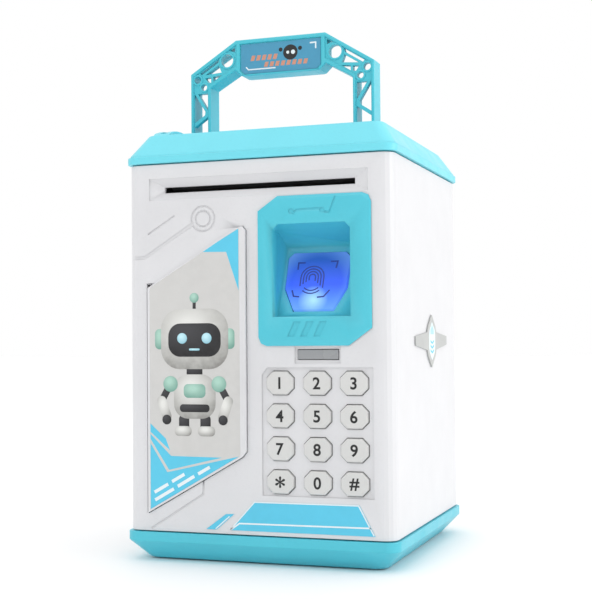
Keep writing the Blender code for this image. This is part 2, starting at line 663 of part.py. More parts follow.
def make_indicator_lens():
    outline = rectangle(*INDICATOR_LENS)
    lens = front_plate("indicator_lens", [outline], FRONT + 0.3, WALL_BACK + 0.3, LENS_GREY)
    flange = offset_loop(rectangle(*INDICATOR_LENS), 1.2)
    add(lens, front_plate("lens_flange", [flange], WALL_BACK + GAP, WALL_BACK + 1.2))
    return lens


def make_key(name, centre):
    """One octagonal key: a bevelled cap that stands through the wall and a wider flange behind it."""
    front = FRONT - 1.0
    layers = [
        (KEY_WIDTH - 1.0, KEY_HEIGHT - 1.0, KEY_CHAMFER - 0.3, front),
        (KEY_WIDTH, KEY_HEIGHT, KEY_CHAMFER, front + 0.5),
        (KEY_WIDTH, KEY_HEIGHT, KEY_CHAMFER, WALL_BACK + GAP),
        (KEY_WIDTH + 1.9, KEY_HEIGHT + 1.9, KEY_CHAMFER + 0.5, WALL_BACK + GAP),
        (KEY_WIDTH + 1.9, KEY_HEIGHT + 1.9, KEY_CHAMFER + 0.5, WALL_BACK + 1.1),
    ]
    rings = []
    for width, height, chamfer, y in layers:
        loop = on_front(chamfered(width, height, chamfer, centre))
        rings.append([(x, y, z) for x, z in loop])
    key = loft(name, rings, KEY_WHITE)
    origin_on_axis(key, (centre[0], front, centre[1] + BASE_HEIGHT))


def make_keypad():
    for name, centre in zip(KEY_NAMES, key_centres()):
        make_key(name, centre)
    sheet = rectangle(3.6, 17.6, 54.2, 76.4)
    back = WALL_BACK + 1.1 + KEY_TRAVEL + GAP
    membrane = front_plate("keypad_membrane", [sheet], back, back + 1.2, GREY_RUBBER)
    for i, centre in enumerate(key_centres()):
        pad = circle(centre, 2.6, 12)
        add(membrane, front_plate(f"pad_{i}", [pad], back - 0.2, back + 0.6))
    front_plate("keypad_board", [sheet], back + 1.5, back + 3.1, BOARD)


def make_front_decals():
    """Two printed films on the lower front: a wide one with slanted ends and a small one beside it."""
    y0 = FRONT - LABEL_GAP - LABEL_THICKNESS
    main = [(-13.3, 1.8), (55.7, 1.8), (48.4, 15.4), (-1.4, 15.2)]
    end = [(-25.2, 1.8), (-20.0, 1.8), (-11.3, 9.2), (-15.4, 9.0)]
    front_plate("front_decal", [main], y0, FRONT - LABEL_GAP, PRINT)
    front_plate("front_decal_end", [end], y0, FRONT - LABEL_GAP, PRINT)


def make_side_badges():
    """A hexagon with a short wing to each side, on both side walls."""
    centre_y, centre_z = 70.5 + FRONT, 87.5 + BASE_HEIGHT
    upper = [(0.0, 13.0), (7.6, 7.4), (9.4, 4.4), (33.0, 2.4)]
    half = upper + [(33.0, -2.0), (9.4, -4.4), (7.6, -7.4), (0.0, -13.0)]
    outline = [(centre_y + y, centre_z + z) for y, z in half]
    outline += [(centre_y - y, centre_z + z) for y, z in reversed(half[1:-1])]
    for name, side in (("side_badge_left", -1), ("side_badge_right", 1)):
        near, far = side * (HALF_X + LABEL_GAP), side * (HALF_X + 0.8)
        prism(name, [outline], min(near, far), max(near, far), SIDE_PLANE, BADGE)


# ---- door and latch ----
DOOR_FRONT = FRONT - 1.45


def make_door():
    """A raised panel with a hinge rib along its left edge and a catch for the bolt on its back."""
    door = front_plate("door", [DOOR_OUTLINE], DOOR_FRONT, WALL_BACK, WHITE)
    rib_x = (-53.4, -50.4)
    low, high = 11.4 + BASE_HEIGHT, 113.0 + BASE_HEIGHT
    add(door, box("hinge_rib", (rib_x[0], WALL_BACK - 0.4, low), (rib_x[1], FRONT + 4.2, high)))
    catch_z = (LATCH_Z - 4.0, LATCH_Z + 4.0)
    add(door, box("catch", (-10.4, WALL_BACK - 0.4, catch_z[0]), (-6.5, -55.6, catch_z[1])))
    cut(door, front_plate("label_recess", [label_outline(0.4)], DOOR_FRONT - 1, DOOR_FRONT + 0.35))
    edge = [(-54.6, DOOR_FRONT - 0.4), (-52.7, DOOR_FRONT - 0.4), (-54.6, DOOR_FRONT + 1.5)]
    cut(door, prism("edge_chamfer", [edge], BASE_HEIGHT, BASE_HEIGHT + 125, TOP_PLANE))
    cut(door, box("catch_hole", (-12.0, LATCH_Y - 2.6, LATCH_Z - 2.6), (-5.0, LATCH_Y + 2.6, LATCH_Z + 2.6)))
    for name, z0, z1 in (("door_pin_hole_upper", 104.5, 120.0), ("door_pin_hole_lower", 2.0, 17.5)):
        start = (DOOR_HINGE_X, DOOR_HINGE_Y, z0 + BASE_HEIGHT)
        end = (DOOR_HINGE_X, DOOR_HINGE_Y, z1 + BASE_HEIGHT)
        cut(door, cylinder(name, 0.95, start, end, sides=12))
    origin_on_axis(door, (DOOR_HINGE_X, DOOR_HINGE_Y, 60.0 + BASE_HEIGHT))
    return door


def label_outline(grow=0.0):
    inner = [(-53.0, 9.9), (-7.6, 35.8), (-7.6, 140.0), (-9.2, 139.6), (-53.0, 113.7)]
    return offset_loop(inner, grow)


def make_door_label():
    y = DOOR_FRONT + 0.35 - LABEL_GAP
    label = front_plate("door_label", [label_outline()], y - LABEL_THICKNESS, y, PRINT)
    origin_on_axis(label, (DOOR_HINGE_X, DOOR_HINGE_Y, 60.0 + BASE_HEIGHT))


def make_door_pins():
    for name, z0, z1 in (("door_pin_upper", 105.2, 121.5), ("door_pin_lower", 5.7, 16.8)):
        start = (DOOR_HINGE_X, DOOR_HINGE_Y, z0 + BASE_HEIGHT)
        end = (DOOR_HINGE_X, DOOR_HINGE_Y, z1 + BASE_HEIGHT)
        cylinder(name, 0.8, start, end, STEEL, sides=12)


COIL_X = (10.5, 22.5)


def make_latch():
    """A square bolt on a round stem, the magnet coil that draws it back and the spring that throws it."""
    y, z = LATCH_Y, LATCH_Z
    bolt = box("latch_bolt", (-5.0, y - 2.0, z - 2.0), (5.0, y + 2.0, z + 2.0), STEEL)
    add(bolt, cylinder("bolt_collar", 2.9, (5.0 - 0.6, y, z), (6.0, y, z), sides=16))
    add(bolt, cylinder("bolt_stem", 1.4, (5.5, y, z), (22.0, y, z), sides=16))
    tip = [(-5.6, y - 2.6), (-3.4, y - 2.6), (-5.6, y - 0.2)]
    cut(bolt, prism("bolt_nose", [tip], z - 3, z + 3, TOP_PLANE))
    coil = box("latch_coil", (COIL_X[0], y - 4.9, z - 5.5), (COIL_X[1], y + 5.5, z + 5.5), COPPER)
    cut(coil, cylinder("coil_bore", 1.8, (COIL_X[0] - 1, y, z), (COIL_X[1] + 1, y, z), sides=16))
    spring("latch_spring", (6.3, y, z), (COIL_X[0] - 0.3, y, z))


def spring(name, start, end, radius=2.3, wire=0.25, turns=4, steps=10):
    """A helix of wire along X from start to end."""
    curve = bpy.data.curves.new(name, "CURVE")
    curve.dimensions = "3D"
    curve.bevel_depth = wire * MM
    curve.bevel_resolution = 1
    curve.use_fill_caps = True
    path = curve.splines.new("POLY")
    count = turns * steps
    path.points.add(count)
    first, last = start[0] + wire, end[0] - wire
    for i, point in enumerate(path.points):
        angle = 2 * math.pi * i / steps
        x = first + (last - first) * i / count
        y = start[1] + radius * math.cos(angle)
        z = start[2] + radius * math.sin(angle)
        point.co = (x * MM, y * MM, z * MM, 1)
    curve.materials.append(STEEL)
    made = bpy.data.objects.new(name, curve)
    PARTS.objects.link(made)
    return made


# ---- handle ----
def make_handle():
    """A trussed carrying arch: full-depth flanges with thinner braces and rings between them."""
    y0, y1 = HANDLE_Y - HANDLE_DEPTH / 2, HANDLE_Y + HANDLE_DEPTH / 2
    foot = HANDLE_PIVOT_Z - BASE_HEIGHT
    end = HANDLE_DEPTH / 2
    outer = [(47.4, foot - end), (47.4, 221.4), (23.1, 236.6)]
    inner = [(20.2, 218.8), (23.4, 221.8), (36.8, 214.0), (36.8, foot - end)]
    half = inner + outer
    handle = front_plate("handle", [half + mirrored(half)], y0, y1, CYAN)
    sill = foot + 6.5
    window = [(38.2, sill), (46.0, sill), (46.0, 220.2), (23.0, 234.5), (23.0, 224.2), (38.2, 215.0)]
    brace_y = y0 + BRACE_SETBACK
    for side, loop in (("right", window), ("left", mirrored(window))):
        cut(handle, front_plate(f"window_{side}", [loop], y0 - 1, y1 + 1))
        edge = offset_loop(loop, 0.5)
        holes = [mirrored(hole) for hole in brace_holes()] if side == "left" else brace_holes()
        add(handle, front_plate(f"braces_{side}", [edge, *holes], brace_y, brace_y + BRACE_DEPTH))
    plate = [(19.0, 219.2), (21.0, 221.2), (21.0, 234.6)]
    plate = plate + mirrored(plate)
    cut(handle, front_plate("plate_recess", [plate], y0 - 1, y0 + 0.9))
    for side in (-1, 1):
        name = "left" if side < 0 else "right"
        x0, x1 = sorted((side * 36.0, side * 48.5))
        round_end = [(HANDLE_Y + 9.0, foot + BASE_HEIGHT), (HANDLE_Y + 9.0, foot + BASE_HEIGHT - 9.0),
                     (HANDLE_Y - 9.0, foot + BASE_HEIGHT - 9.0), (HANDLE_Y - 9.0, foot + BASE_HEIGHT)]
        arc = [(HANDLE_Y - end * math.cos(a), HANDLE_PIVOT_Z - end * math.sin(a))
               for a in (math.pi * i / 12 for i in range(13))]
        cut(handle, prism(f"foot_round_{name}", [round_end + arc], x0, x1, SIDE_PLANE))
        ends = (x0, HANDLE_Y, HANDLE_PIVOT_Z), (x1, HANDLE_Y, HANDLE_PIVOT_Z)
        bore = cylinder(f"pivot_bore_{name}", 1.75, *ends, sides=16)
        cut(handle, bore)
    origin_on_axis(handle, (0.0, HANDLE_Y, HANDLE_PIVOT_Z))
    round_shading(handle)
    return handle


def brace_holes():
    """The openings between the braces of the right-hand side: three rings and the triangles around them."""
    big, middle, small = (28.0, 227.0), (43.9, 218.5), (40.5, 214.6)
    return [
        circle(big, 3.2, 20),
        circle(middle, 1.8, 14),
        circle(small, 1.6, 14),
        [(32.3, 228.3), (42.6, 221.9), (41.8, 220.9), (32.9, 226.5)],
        [(32.6, 225.2), (39.8, 220.8), (31.2, 221.5)],
        [(31.2, 220.1), (35.6, 219.6), (35.6, 217.3)],
        [(36.8, 219.5), (39.9, 219.2), (38.3, 216.9), (36.8, 216.9)],
        [(23.8, 233.4), (23.8, 230.9), (26.8, 231.9)],
        [(38.6, 211.5), (43.8, 211.5), (38.6, 203.1)],
        [(45.7, 211.7), (45.7, 197.2), (40.2, 200.8), (40.0, 202.5)],
        [(38.6, 199.8), (45.7, 195.0), (45.7, 188.7), (38.6, 188.7)],
    ]


def make_handle_label():
    y1 = HANDLE_Y - HANDLE_DEPTH / 2 + 0.9 - LABEL_GAP
    half = [(18.6, 219.6), (20.6, 221.5), (20.6, 234.2)]
    label = front_plate("handle_label", [half + mirrored(half)], y1 - LABEL_THICKNESS, y1, PRINT)
    origin_on_axis(label, (0.0, HANDLE_Y, HANDLE_PIVOT_Z))


def make_handle_pins():
    for name, side in (("handle_pin_left", -1), ("handle_pin_right", 1)):
        start = (side * 34.6, HANDLE_Y, HANDLE_PIVOT_Z)
        end = (side * 48.9, HANDLE_Y, HANDLE_PIVOT_Z)
        cylinder(name, 1.5, start, end, STEEL, sides=16)


# ---- bill feeder ----
SLOT_Z = BASE_HEIGHT + 159.9
ROLLER_Y = FRONT + 14.0
FEED_Z = SLOT_Z - ROLLER_RADIUS - 0.15
PINCH_Z = SLOT_Z + ROLLER_RADIUS + 0.15
MODULE = 0.8
GEAR_TEETH, PINION_TEETH = 24, 10
GEAR_DISTANCE = MODULE * (GEAR_TEETH + PINION_TEETH) / 2
PINION_OFFSET = (6.0, -math.sqrt(GEAR_DISTANCE**2 - 36.0))
MOTOR_Y = ROLLER_Y + PINION_OFFSET[0]
MOTOR_Z = FEED_Z + PINION_OFFSET[1]
CHEEK_X = (48.2, 49.7)
GEAR_X = (50.4, 53.4)


def gear_outline(teeth, centre, phase):
    """Straight-sided teeth on a root circle, narrower than the space between them."""
    pitch = MODULE * teeth / 2
    root, tip = pitch - MODULE * 1.25, pitch + MODULE * 0.85
    step = 2 * math.pi / teeth
    corners = ((root, -0.30), (pitch, -0.215), (tip, -0.11), (tip, 0.11), (pitch, 0.215), (root, 0.30))
    points = []
    for tooth in range(teeth):
        for radius, share in corners:
            angle = phase + step * (tooth + share)
            points.append((centre[0] + radius * math.cos(angle), centre[1] + radius * math.sin(angle)))
    return points


def roller(name, y, z, length, right_end):
    """A rubber-covered roller on a thin shaft that runs in both cheeks."""
    left_end = -length - 2.6
    profile = [(0.0, right_end), (1.45, right_end), (1.45, length - 1.2), (ROLLER_RADIUS, length - 1.2),
               (ROLLER_RADIUS, 1.2 - length), (1.45, 1.2 - length), (1.45, left_end), (0.0, left_end)]
    made = turned(name, profile, (0.0, y, z), (0.0, math.pi / 2, 0.0), RUBBER, steps=20)
    round_shading(made)
    return made


def make_feeder():
    x0, x1 = CHEEK_X
    cheek = [(FRONT + 5.2, SLOT_Z - 13.0), (FRONT + 12.0, MOTOR_Z - 5.2), (MOTOR_Y + 9.0, MOTOR_Z - 5.2),
             (MOTOR_Y + 9.0, SLOT_Z - 2.0), (ROLLER_Y + 7.0, SLOT_Z + 7.5), (FRONT + 5.2, SLOT_Z + 7.5)]
    frame = prism("feeder_frame", [cheek], x0, x1, SIDE_PLANE, BLACK)
    add(frame, prism("cheek_left", [cheek], -x1, -x0, SIDE_PLANE))
    guides = ("guide_front", FRONT + 5.2, ROLLER_Y - 4.8), ("guide_rear", ROLLER_Y + 4.8, MOTOR_Y + 8.0)
    for name, y0, y1 in guides:
        add(frame, box(name, (-x0 - 0.5, y0, SLOT_Z - 3.2), (x0 + 0.5, y1, SLOT_Z - 1.6)))
    low, high = (-x0 - 0.5, FRONT + 5.2, SLOT_Z + 1.6), (x0 + 0.5, ROLLER_Y - 5.2, SLOT_Z + 3.2)
    add(frame, box("guide_upper", low, high))
    for name, y, z in (("feed", ROLLER_Y, FEED_Z), ("pinch", ROLLER_Y, PINCH_Z)):
        cut(frame, cylinder(f"{name}_bearing", 1.6, (-x1 - 1, y, z), (x1 + 1, y, z), sides=24))
    cut(frame, cylinder("motor_hole", 2.6, (x0 - 1, MOTOR_Y, MOTOR_Z), (x1 + 1, MOTOR_Y, MOTOR_Z), sides=16))

    roller("feed_roller", ROLLER_Y, FEED_Z, CHEEK_X[0], GEAR_X[1] + 0.8)
    roller("pinch_roller", ROLLER_Y, PINCH_Z, CHEEK_X[0], CHEEK_X[1] + 0.4)
    toward = math.atan2(PINION_OFFSET[1], PINION_OFFSET[0])
    gear_loop = gear_outline(GEAR_TEETH, (ROLLER_Y, FEED_Z), toward)
    gear = prism("feed_gear", [gear_loop], *GEAR_X, SIDE_PLANE, GEAR_WHITE)
    hub = (GEAR_X[0] - 1, ROLLER_Y, FEED_Z), (GEAR_X[1] + 1, ROLLER_Y, FEED_Z)
    cut(gear, cylinder("gear_bore", 1.55, *hub, sides=24))
    origin_on_axis(gear, (GEAR_X[0], ROLLER_Y, FEED_Z))
    half_step = math.pi / PINION_TEETH
    pinion_loop = gear_outline(PINION_TEETH, (MOTOR_Y, MOTOR_Z), toward + math.pi + half_step)
    pinion = prism("motor_pinion", [pinion_loop], *GEAR_X, SIDE_PLANE, GEAR_WHITE)
    hub = (GEAR_X[0] - 1, MOTOR_Y, MOTOR_Z), (GEAR_X[1] + 1, MOTOR_Y, MOTOR_Z)
    cut(pinion, cylinder("pinion_bore", 0.85, *hub, sides=16))
    origin_on_axis(pinion, (GEAR_X[0], MOTOR_Y, MOTOR_Z))

    profile = [(0.0, 53.8), (0.75, 53.8), (0.75, 49.2), (2.2, 49.2), (2.2, 47.9), (7.2, 47.9), (7.2, 25.0),
               (2.0, 25.0), (2.0, 23.6), (0.0, 23.6)]
    motor = turned("feed_motor", profile, (0.0, MOTOR_Y, MOTOR_Z), (0.0, math.pi / 2, 0.0), STEEL, steps=20)
    round_shading(motor)
    box("bill_sensor", (-4.0, FRONT + 5.6, SLOT_Z + 3.5), (4.0, FRONT + 8.6, SLOT_Z + 7.0), BLACK)


# ---- electronics and batteries ----
def make_cash_partition():
    """The wall between money room and electronics: one plate beside the door, one behind the keypad."""
    top, low, step = 148.0, 9.1, BASE_TOP + 4.4
    front = WALL_BACK + GAP
    side = [(-60.1, low), (-40.4, low), (-40.4, top), (front, top), (front, step), (-60.1, step)]
    wall = prism("cash_partition", [side], -2.0, -0.5, SIDE_PLANE, WHITE)
    limit = HALF_X - WALL - GAP
    back = [(-1.2, low), (57.0, low), (57.0, step), (limit, step), (limit, top), (-1.2, top)]
    add(wall, prism("partition_back", [back], -41.9, -40.4, FRONT_PLANE))
    cut(wall, box("bolt_hole", (-3.0, LATCH_Y - 2.5, LATCH_Z - 2.5), (1.0, LATCH_Y + 2.5, LATCH_Z + 2.5)))
    return wall


def make_electronics():
    board = front_plate("main_board", [rectangle(5.0, 22.0, 45.0, 78.0)], FRONT + 9.6, FRONT + 11.0, BOARD)
    chips = (
        ((10.0, 40.0), (22.0, 52.0), 1.6),
        ((28.0, 60.0), (38.0, 68.0), 1.6),
        ((30.0, 30.0), (40.0, 37.0), 3.5),
    )
    for i, (low, high, height) in enumerate(chips):
        add(board, front_plate(f"chip_{i}", [rectangle(*low, *high)], FRONT + 10.6, FRONT + 11.0 + height))
    profile = [(0.0, 4.6), (6.0, 4.6), (6.0, 2.6), (9.0, 2.0), (14.0, 1.2), (14.0, 0.0), (0.0, 0.0)]
    place = (31.0, -42.3, BASE_HEIGHT + 100.0)
    speaker = turned("speaker", profile, place, (math.pi / 2, 0, 0), BLACK, steps=24)
    round_shading(speaker)


def make_batteries():
    shoulder = CELL_LENGTH - 1.2
    profile = [
        (0.0, CELL_LENGTH), (2.7, CELL_LENGTH), (2.7, shoulder), (CELL_RADIUS, shoulder), (CELL_RADIUS, 0.3),
        (4.5, 0.0), (0.0, 0.0),
    ]
    z = TRAY_FLOOR + GAP + CELL_RADIUS
    for i, y in enumerate((0.0, 15.2, 30.4)):
        facing = 1 if i % 2 == 0 else -1
        place = (-facing * CELL_LENGTH / 2, y, z)
        cell = turned(f"battery_{i + 1}", profile, place, (0, facing * math.pi / 2, 0), CELL_WRAP, steps=20)
        round_shading(cell)
    for name, side in (("battery_contact_left", -1), ("battery_contact_right", 1)):
        near, far = side * (CELL_LENGTH / 2 + 0.5), side * (CELL_LENGTH / 2 + 0.9)
        contact = box(name, (min(near, far), -6.0, 5.0), (max(near, far), 36.4, 15.6), STEEL)
        stud = side * (BAY_X - GAP)
        for i, y in enumerate((0.0, 15.2, 30.4)):
            low, high = sorted((far - side * 0.2, stud))
            add(contact, box(f"{name}_tab_{i}", (low, y - 3.0, 8.0), (high, y + 3.0, 12.8)))


def make_battery_cover():
    cover = box("battery_cover", (-COVER_X, COVER_Y[0], 0.9), (COVER_X, COVER_Y[1], TRAY_FLOOR - GAP), CYAN)
    x, y = COVER_SCREW
    cut(cover, cylinder("cover_screw_hole", 1.7, (x, y, 0.0), (x, y, 4.0), sides=12))
    cut(cover, cylinder("cover_counterbore", 3.0, (x, y, 0.0), (x, y, 1.9), sides=16))
    for i in range(3):
        groove_y = 6.0 + 3.0 * i
        cut(cover, box(f"grip_{i}", (-10.0, groove_y, 0.0), (10.0, groove_y + 1.2, 1.3)))
    origin_on_axis(cover, (0.0, 15.2, 0.9))
    profile = [(0.0, 8.6), (1.3, 7.6), (1.3, 0.0), (2.6, 0.0), (2.6, -0.5), (2.0, -0.9), (0.0, -0.9)]
    round_shading(turned("battery_cover_screw", profile, (x, y, 1.6 + 0.1), (0, 0, 0), STEEL, steps=12))


make_body_shell()
make_top_cover()
make_base_tray()
make_base_screws()
make_scanner_bezel()
make_scanner_window()
make_scanner_board()
make_indicator_lens()
make_keypad()
make_front_decals()
make_side_badges()
make_door()
make_door_label()
make_door_pins()
make_latch()
make_handle()
make_handle_label()
make_handle_pins()
make_feeder()
make_cash_partition()
make_electronics()
make_batteries()
make_battery_cover()
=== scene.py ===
"""Toy cash machine money box: the looks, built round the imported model.

Lengths in the tables below are millimetres. A point on a face is its place across and its height above the
body's lower edge.
"""
import json
import math

import bmesh
import bpy
from mathutils import Matrix, Vector
from mathutils.bvhtree import BVHTree


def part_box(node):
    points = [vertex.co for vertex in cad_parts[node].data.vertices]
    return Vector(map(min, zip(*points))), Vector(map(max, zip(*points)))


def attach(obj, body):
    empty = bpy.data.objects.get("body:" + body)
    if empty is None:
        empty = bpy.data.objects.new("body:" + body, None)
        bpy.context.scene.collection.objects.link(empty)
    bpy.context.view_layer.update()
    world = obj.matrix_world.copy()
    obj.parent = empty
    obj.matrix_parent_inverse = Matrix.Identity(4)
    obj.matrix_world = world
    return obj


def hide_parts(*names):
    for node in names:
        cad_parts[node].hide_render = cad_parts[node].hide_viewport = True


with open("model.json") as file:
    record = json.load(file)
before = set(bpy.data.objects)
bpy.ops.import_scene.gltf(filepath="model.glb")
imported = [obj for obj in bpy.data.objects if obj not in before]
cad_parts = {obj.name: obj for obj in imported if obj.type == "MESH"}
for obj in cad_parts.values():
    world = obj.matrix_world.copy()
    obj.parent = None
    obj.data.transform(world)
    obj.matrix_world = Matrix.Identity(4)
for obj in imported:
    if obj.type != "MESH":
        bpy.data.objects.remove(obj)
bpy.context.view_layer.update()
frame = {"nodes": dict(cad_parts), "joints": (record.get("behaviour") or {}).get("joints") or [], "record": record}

MM = 0.001
WELD = 0.000002
FLAT_ANGLE = math.radians(0.6)
SHARP_ANGLE = math.radians(28)
FOLD_ANGLE = math.radians(150)
CREASE_ANGLE = math.radians(32)

# An edge shorter than BEVEL_ROOM bevels stays sharp. So does one within reach of a fault: the reach starts at
# BARRED_REACH bevels and grows with every try.
BEVEL_TRIES = 7
BEVEL_ROOM = 2.3
BARRED_REACH = 3.0
BARRED_GROWTH = 1.25

# A printed layer's thickness and the gap under it. A mitre limit keeps a sharp bend's corner short.
FILM = 0.03
FILM_GAP = 0.005
GROWN_MITRE_LIMIT = 0.3
STROKE_MITRE_LIMIT = 0.5

X_AXIS = Vector((1, 0, 0))
Y_AXIS = Vector((0, 1, 0))
Z_AXIS = Vector((0, 0, 1))

BODY_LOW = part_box("body_shell")[0].z
BODY_OF = {node: body for body, nodes in frame["record"]["behaviour"]["bodies"].items() for node in nodes}


# ---- camera: the photograph's viewing angle ----
def make_camera():
    place = Vector((0.20364, -0.59205, 0.10382))
    yaw, pitch, roll = (math.radians(a) for a in (19.291, 1.768, -0.473))
    forward = Vector((-math.sin(yaw) * math.cos(pitch), math.cos(yaw) * math.cos(pitch), math.sin(pitch)))
    right = Vector((math.cos(yaw), math.sin(yaw), 0))
    up = right.cross(forward)
    turned_right = right * math.cos(roll) + up * math.sin(roll)
    turned_up = up * math.cos(roll) - right * math.sin(roll)
    data = bpy.data.cameras.new("camera")
    data.lens = 73.98
    data.sensor_width = 36.0
    data.sensor_fit = "AUTO"
    data.clip_start, data.clip_end = 0.01, 50
    camera = bpy.data.objects.new("camera", data)
    camera.matrix_world = Matrix.Translation(place) @ Matrix(
        (turned_right, turned_up, -forward)).transposed().to_4x4()
    bpy.context.scene.collection.objects.link(camera)
    bpy.context.scene.camera = camera


make_camera()


# ---- shader helpers ----
def add_node(tree, kind, inputs=(), **settings):
    node = tree.nodes.new(kind)
    for key, value in settings.items():
        setattr(node, key, value)
    for key, value in dict(inputs).items():
        if isinstance(value, bpy.types.NodeSocket):
            tree.links.new(value, node.inputs[key])
        else:
            node.inputs[key].default_value = value
    return node


def new_material(name, colour, roughness, metallic=0.0):
    made = bpy.data.materials.new(name)
    made.use_nodes = True
    shader = made.node_tree.nodes["Principled BSDF"]
    shader.inputs["Base Color"].default_value = (*colour, 1.0)
    shader.inputs["Roughness"].default_value = roughness
    shader.inputs["Metallic"].default_value = metallic
    made.diffuse_color = (*colour, 1.0)
    return made, made.node_tree, shader


def coordinates(tree, stretch=(1, 1, 1)):
    place = add_node(tree, "ShaderNodeTexCoord").outputs["Object"]
    return add_node(tree, "ShaderNodeMapping", {"Vector": place, "Scale": stretch}).outputs["Vector"]


def noise(tree, place, scale, detail=3.0):
    inputs = {"Vector": place, "Scale": scale, "Detail": detail}
    return add_node(tree, "ShaderNodeTexNoise", inputs).outputs["Fac"]


def flattened(tree, place):
    """A place with its depth dropped, so that only its position across the face counts."""
    inputs = {0: place, 1: (1, 0, 1)}
    return add_node(tree, "ShaderNodeVectorMath", inputs, operation="MULTIPLY").outputs["Vector"]


def distance(tree, place, centre):
    inputs = {0: place, 1: centre}
    return add_node(tree, "ShaderNodeVectorMath", inputs, operation="DISTANCE").outputs["Value"]


def spread(tree, value, start, end, low, high):
    """Maps start..end to low..high and holds it outside."""
    inputs = {"Value": value, "From Min": start, "From Max": end, "To Min": low, "To Max": high}
    return add_node(tree, "ShaderNodeMapRange", inputs).outputs["Result"]


def mix(tree, factor, first, second):
    made = add_node(tree, "ShaderNodeMix", data_type="RGBA")
    for index, value in ((0, factor), (6, first), (7, second)):
        if isinstance(value, bpy.types.NodeSocket):
            tree.links.new(value, made.inputs[index])
        else:
            made.inputs[index].default_value = (*value, 1.0)
    return made.outputs[2]


def bump(tree, height, strength, depth, under=None):
    inputs = {"Height": height, "Strength": strength, "Distance": depth}
    if under is not None:
        inputs["Normal"] = under
    return add_node(tree, "ShaderNodeBump", inputs).outputs["Normal"]


def shade(colour, amount):
    return tuple(min(c * amount, 1.0) for c in colour)


def finish_shader(tree, shader, colour=None, roughness=None, normal=None):
    for key, value in (("Base Color", colour), ("Roughness", roughness), ("Normal", normal)):
        if value is not None:
            tree.links.new(value, shader.inputs[key])


# ---- materials ----
def moulded(name, colour, roughness, grain=1.0):
    """Injection-moulded plastic: faint flow clouds, fine spark-eroded grain, slight sink and a painted highlight
    on convex edges.
    """
    made, tree, shader = new_material(name, colour, roughness)
    place = coordinates(tree)
    cloud = spread(tree, noise(tree, place, 28, 4), 0.32, 0.68, 0.0, 1.0)
    tone = mix(tree, cloud, shade(colour, 0.965), shade(colour, 1.015))
    fleck = spread(tree, noise(tree, place, 900, 2), 0.30, 0.46, 0.35, 0.0)
    tone = mix(tree, fleck, tone, shade(colour, 0.93))
    # Painted highlight: convex edges, found by pointiness, are painted lighter for the light that rounded edges
    # catch.
    painted_highlight_edges = add_node(tree, "ShaderNodeNewGeometry").outputs["Pointiness"]
    tone = mix(tree, spread(tree, painted_highlight_edges, 0.52, 0.62, 0.0, 0.45), tone, shade(colour, 1.12))
    gloss = spread(tree, noise(tree, place, 75, 5), 0.30, 0.70, roughness - 0.06, roughness + 0.08)
    sink = bump(tree, noise(tree, place, 22, 2), 0.18, 0.0006)
    texture = bump(tree, noise(tree, place, 2300, 3), 0.10 * grain, 0.00006, sink)
    finish_shader(tree, shader, tone, gloss, texture)
    return made


def printed(name, colour, roughness=0.42):
    """Printed film: an even ink with faint screen mottling under a satin lacquer."""
    made, tree, shader = new_material(name, colour, roughness)
    place = coordinates(tree)
    mottle = spread(tree, noise(tree, place, 260, 3), 0.30, 0.70, 0.0, 1.0)
    tone = mix(tree, mottle, shade(colour, 0.965), shade(colour, 1.02))
    cloud = spread(tree, noise(tree, place, 30, 2), 0.30, 0.70, 0.0, 0.6)
    tone = mix(tree, cloud, tone, shade(colour, 1.05))
    gloss = spread(tree, noise(tree, place, 110, 4), 0.3, 0.7, roughness - 0.05, roughness + 0.07)
    finish_shader(tree, shader, tone, gloss, bump(tree, noise(tree, place, 1700, 2), 0.06, 0.00004))
    return made


def pictured(name, light, dark, centre=(0.42, 0.0, 0.68)):
    """Ink that fades from a light spot to a darker rim, as a printed picture of a round form does."""
    made, tree, shader = new_material(name, light, 0.45)
    across = add_node(tree, "ShaderNodeTexCoord").outputs["Generated"]
    flat = flattened(tree, across)
    far = distance(tree, flat, centre)
    tone = mix(tree, spread(tree, far, 0.12, 0.75, 0.0, 1.0), light, dark)
    place = coordinates(tree)
    tone = mix(tree, spread(tree, noise(tree, place, 320, 3), 0.35, 0.65, 0.0, 0.25), tone, shade(light, 0.9))
    finish_shader(tree, shader, tone, None, bump(tree, noise(tree, place, 1700, 2), 0.06, 0.00004))
    return made


def metal(name, colour, roughness, stretch=(1, 1, 1)):
    """Drawn or turned metal: fine scratches along the work and a duller film in patches."""
    made, tree, shader = new_material(name, colour, roughness, 1.0)
    place = coordinates(tree, stretch=stretch)
    lines = noise(tree, place, 900, 4)
    patch = spread(tree, noise(tree, coordinates(tree), 120, 4), 0.35, 0.65, 0.0, 1.0)
    tone = mix(tree, patch, shade(colour, 0.82), shade(colour, 1.06))
    gloss = spread(tree, lines, 0.3, 0.7, roughness - 0.1, roughness + 0.12)
    finish_shader(tree, shader, tone, gloss, bump(tree, lines, 0.15, 0.00005))
    return made


def wound(name, colour):
    """Enamelled wire wound in close turns across X."""
    made, tree, shader = new_material(name, colour, 0.32, 1.0)
    place = coordinates(tree)
    turns = add_node(tree, "ShaderNodeTexWave", {"Vector": place, "Scale": 700.0, "Distortion": 0.4},
                     bands_direction="X").outputs["Fac"]
    tone = mix(tree, turns, shade(colour, 0.45), shade(colour, 1.1))
    finish_shader(tree, shader, tone, None, bump(tree, turns, 0.6, 0.0001))
    return made


def rubbery(name, colour, roughness):
    """Matt moulded rubber with a dusty bloom."""
    made, tree, shader = new_material(name, colour, roughness)
    place = coordinates(tree)
    bloom = spread(tree, noise(tree, place, 160, 5), 0.45, 0.75, 0.0, 0.5)
    tone = mix(tree, bloom, colour, tuple(c + 0.05 for c in colour))
    finish_shader(tree, shader, tone, None, bump(tree, noise(tree, place, 1500, 3), 0.3, 0.00008))
    return made


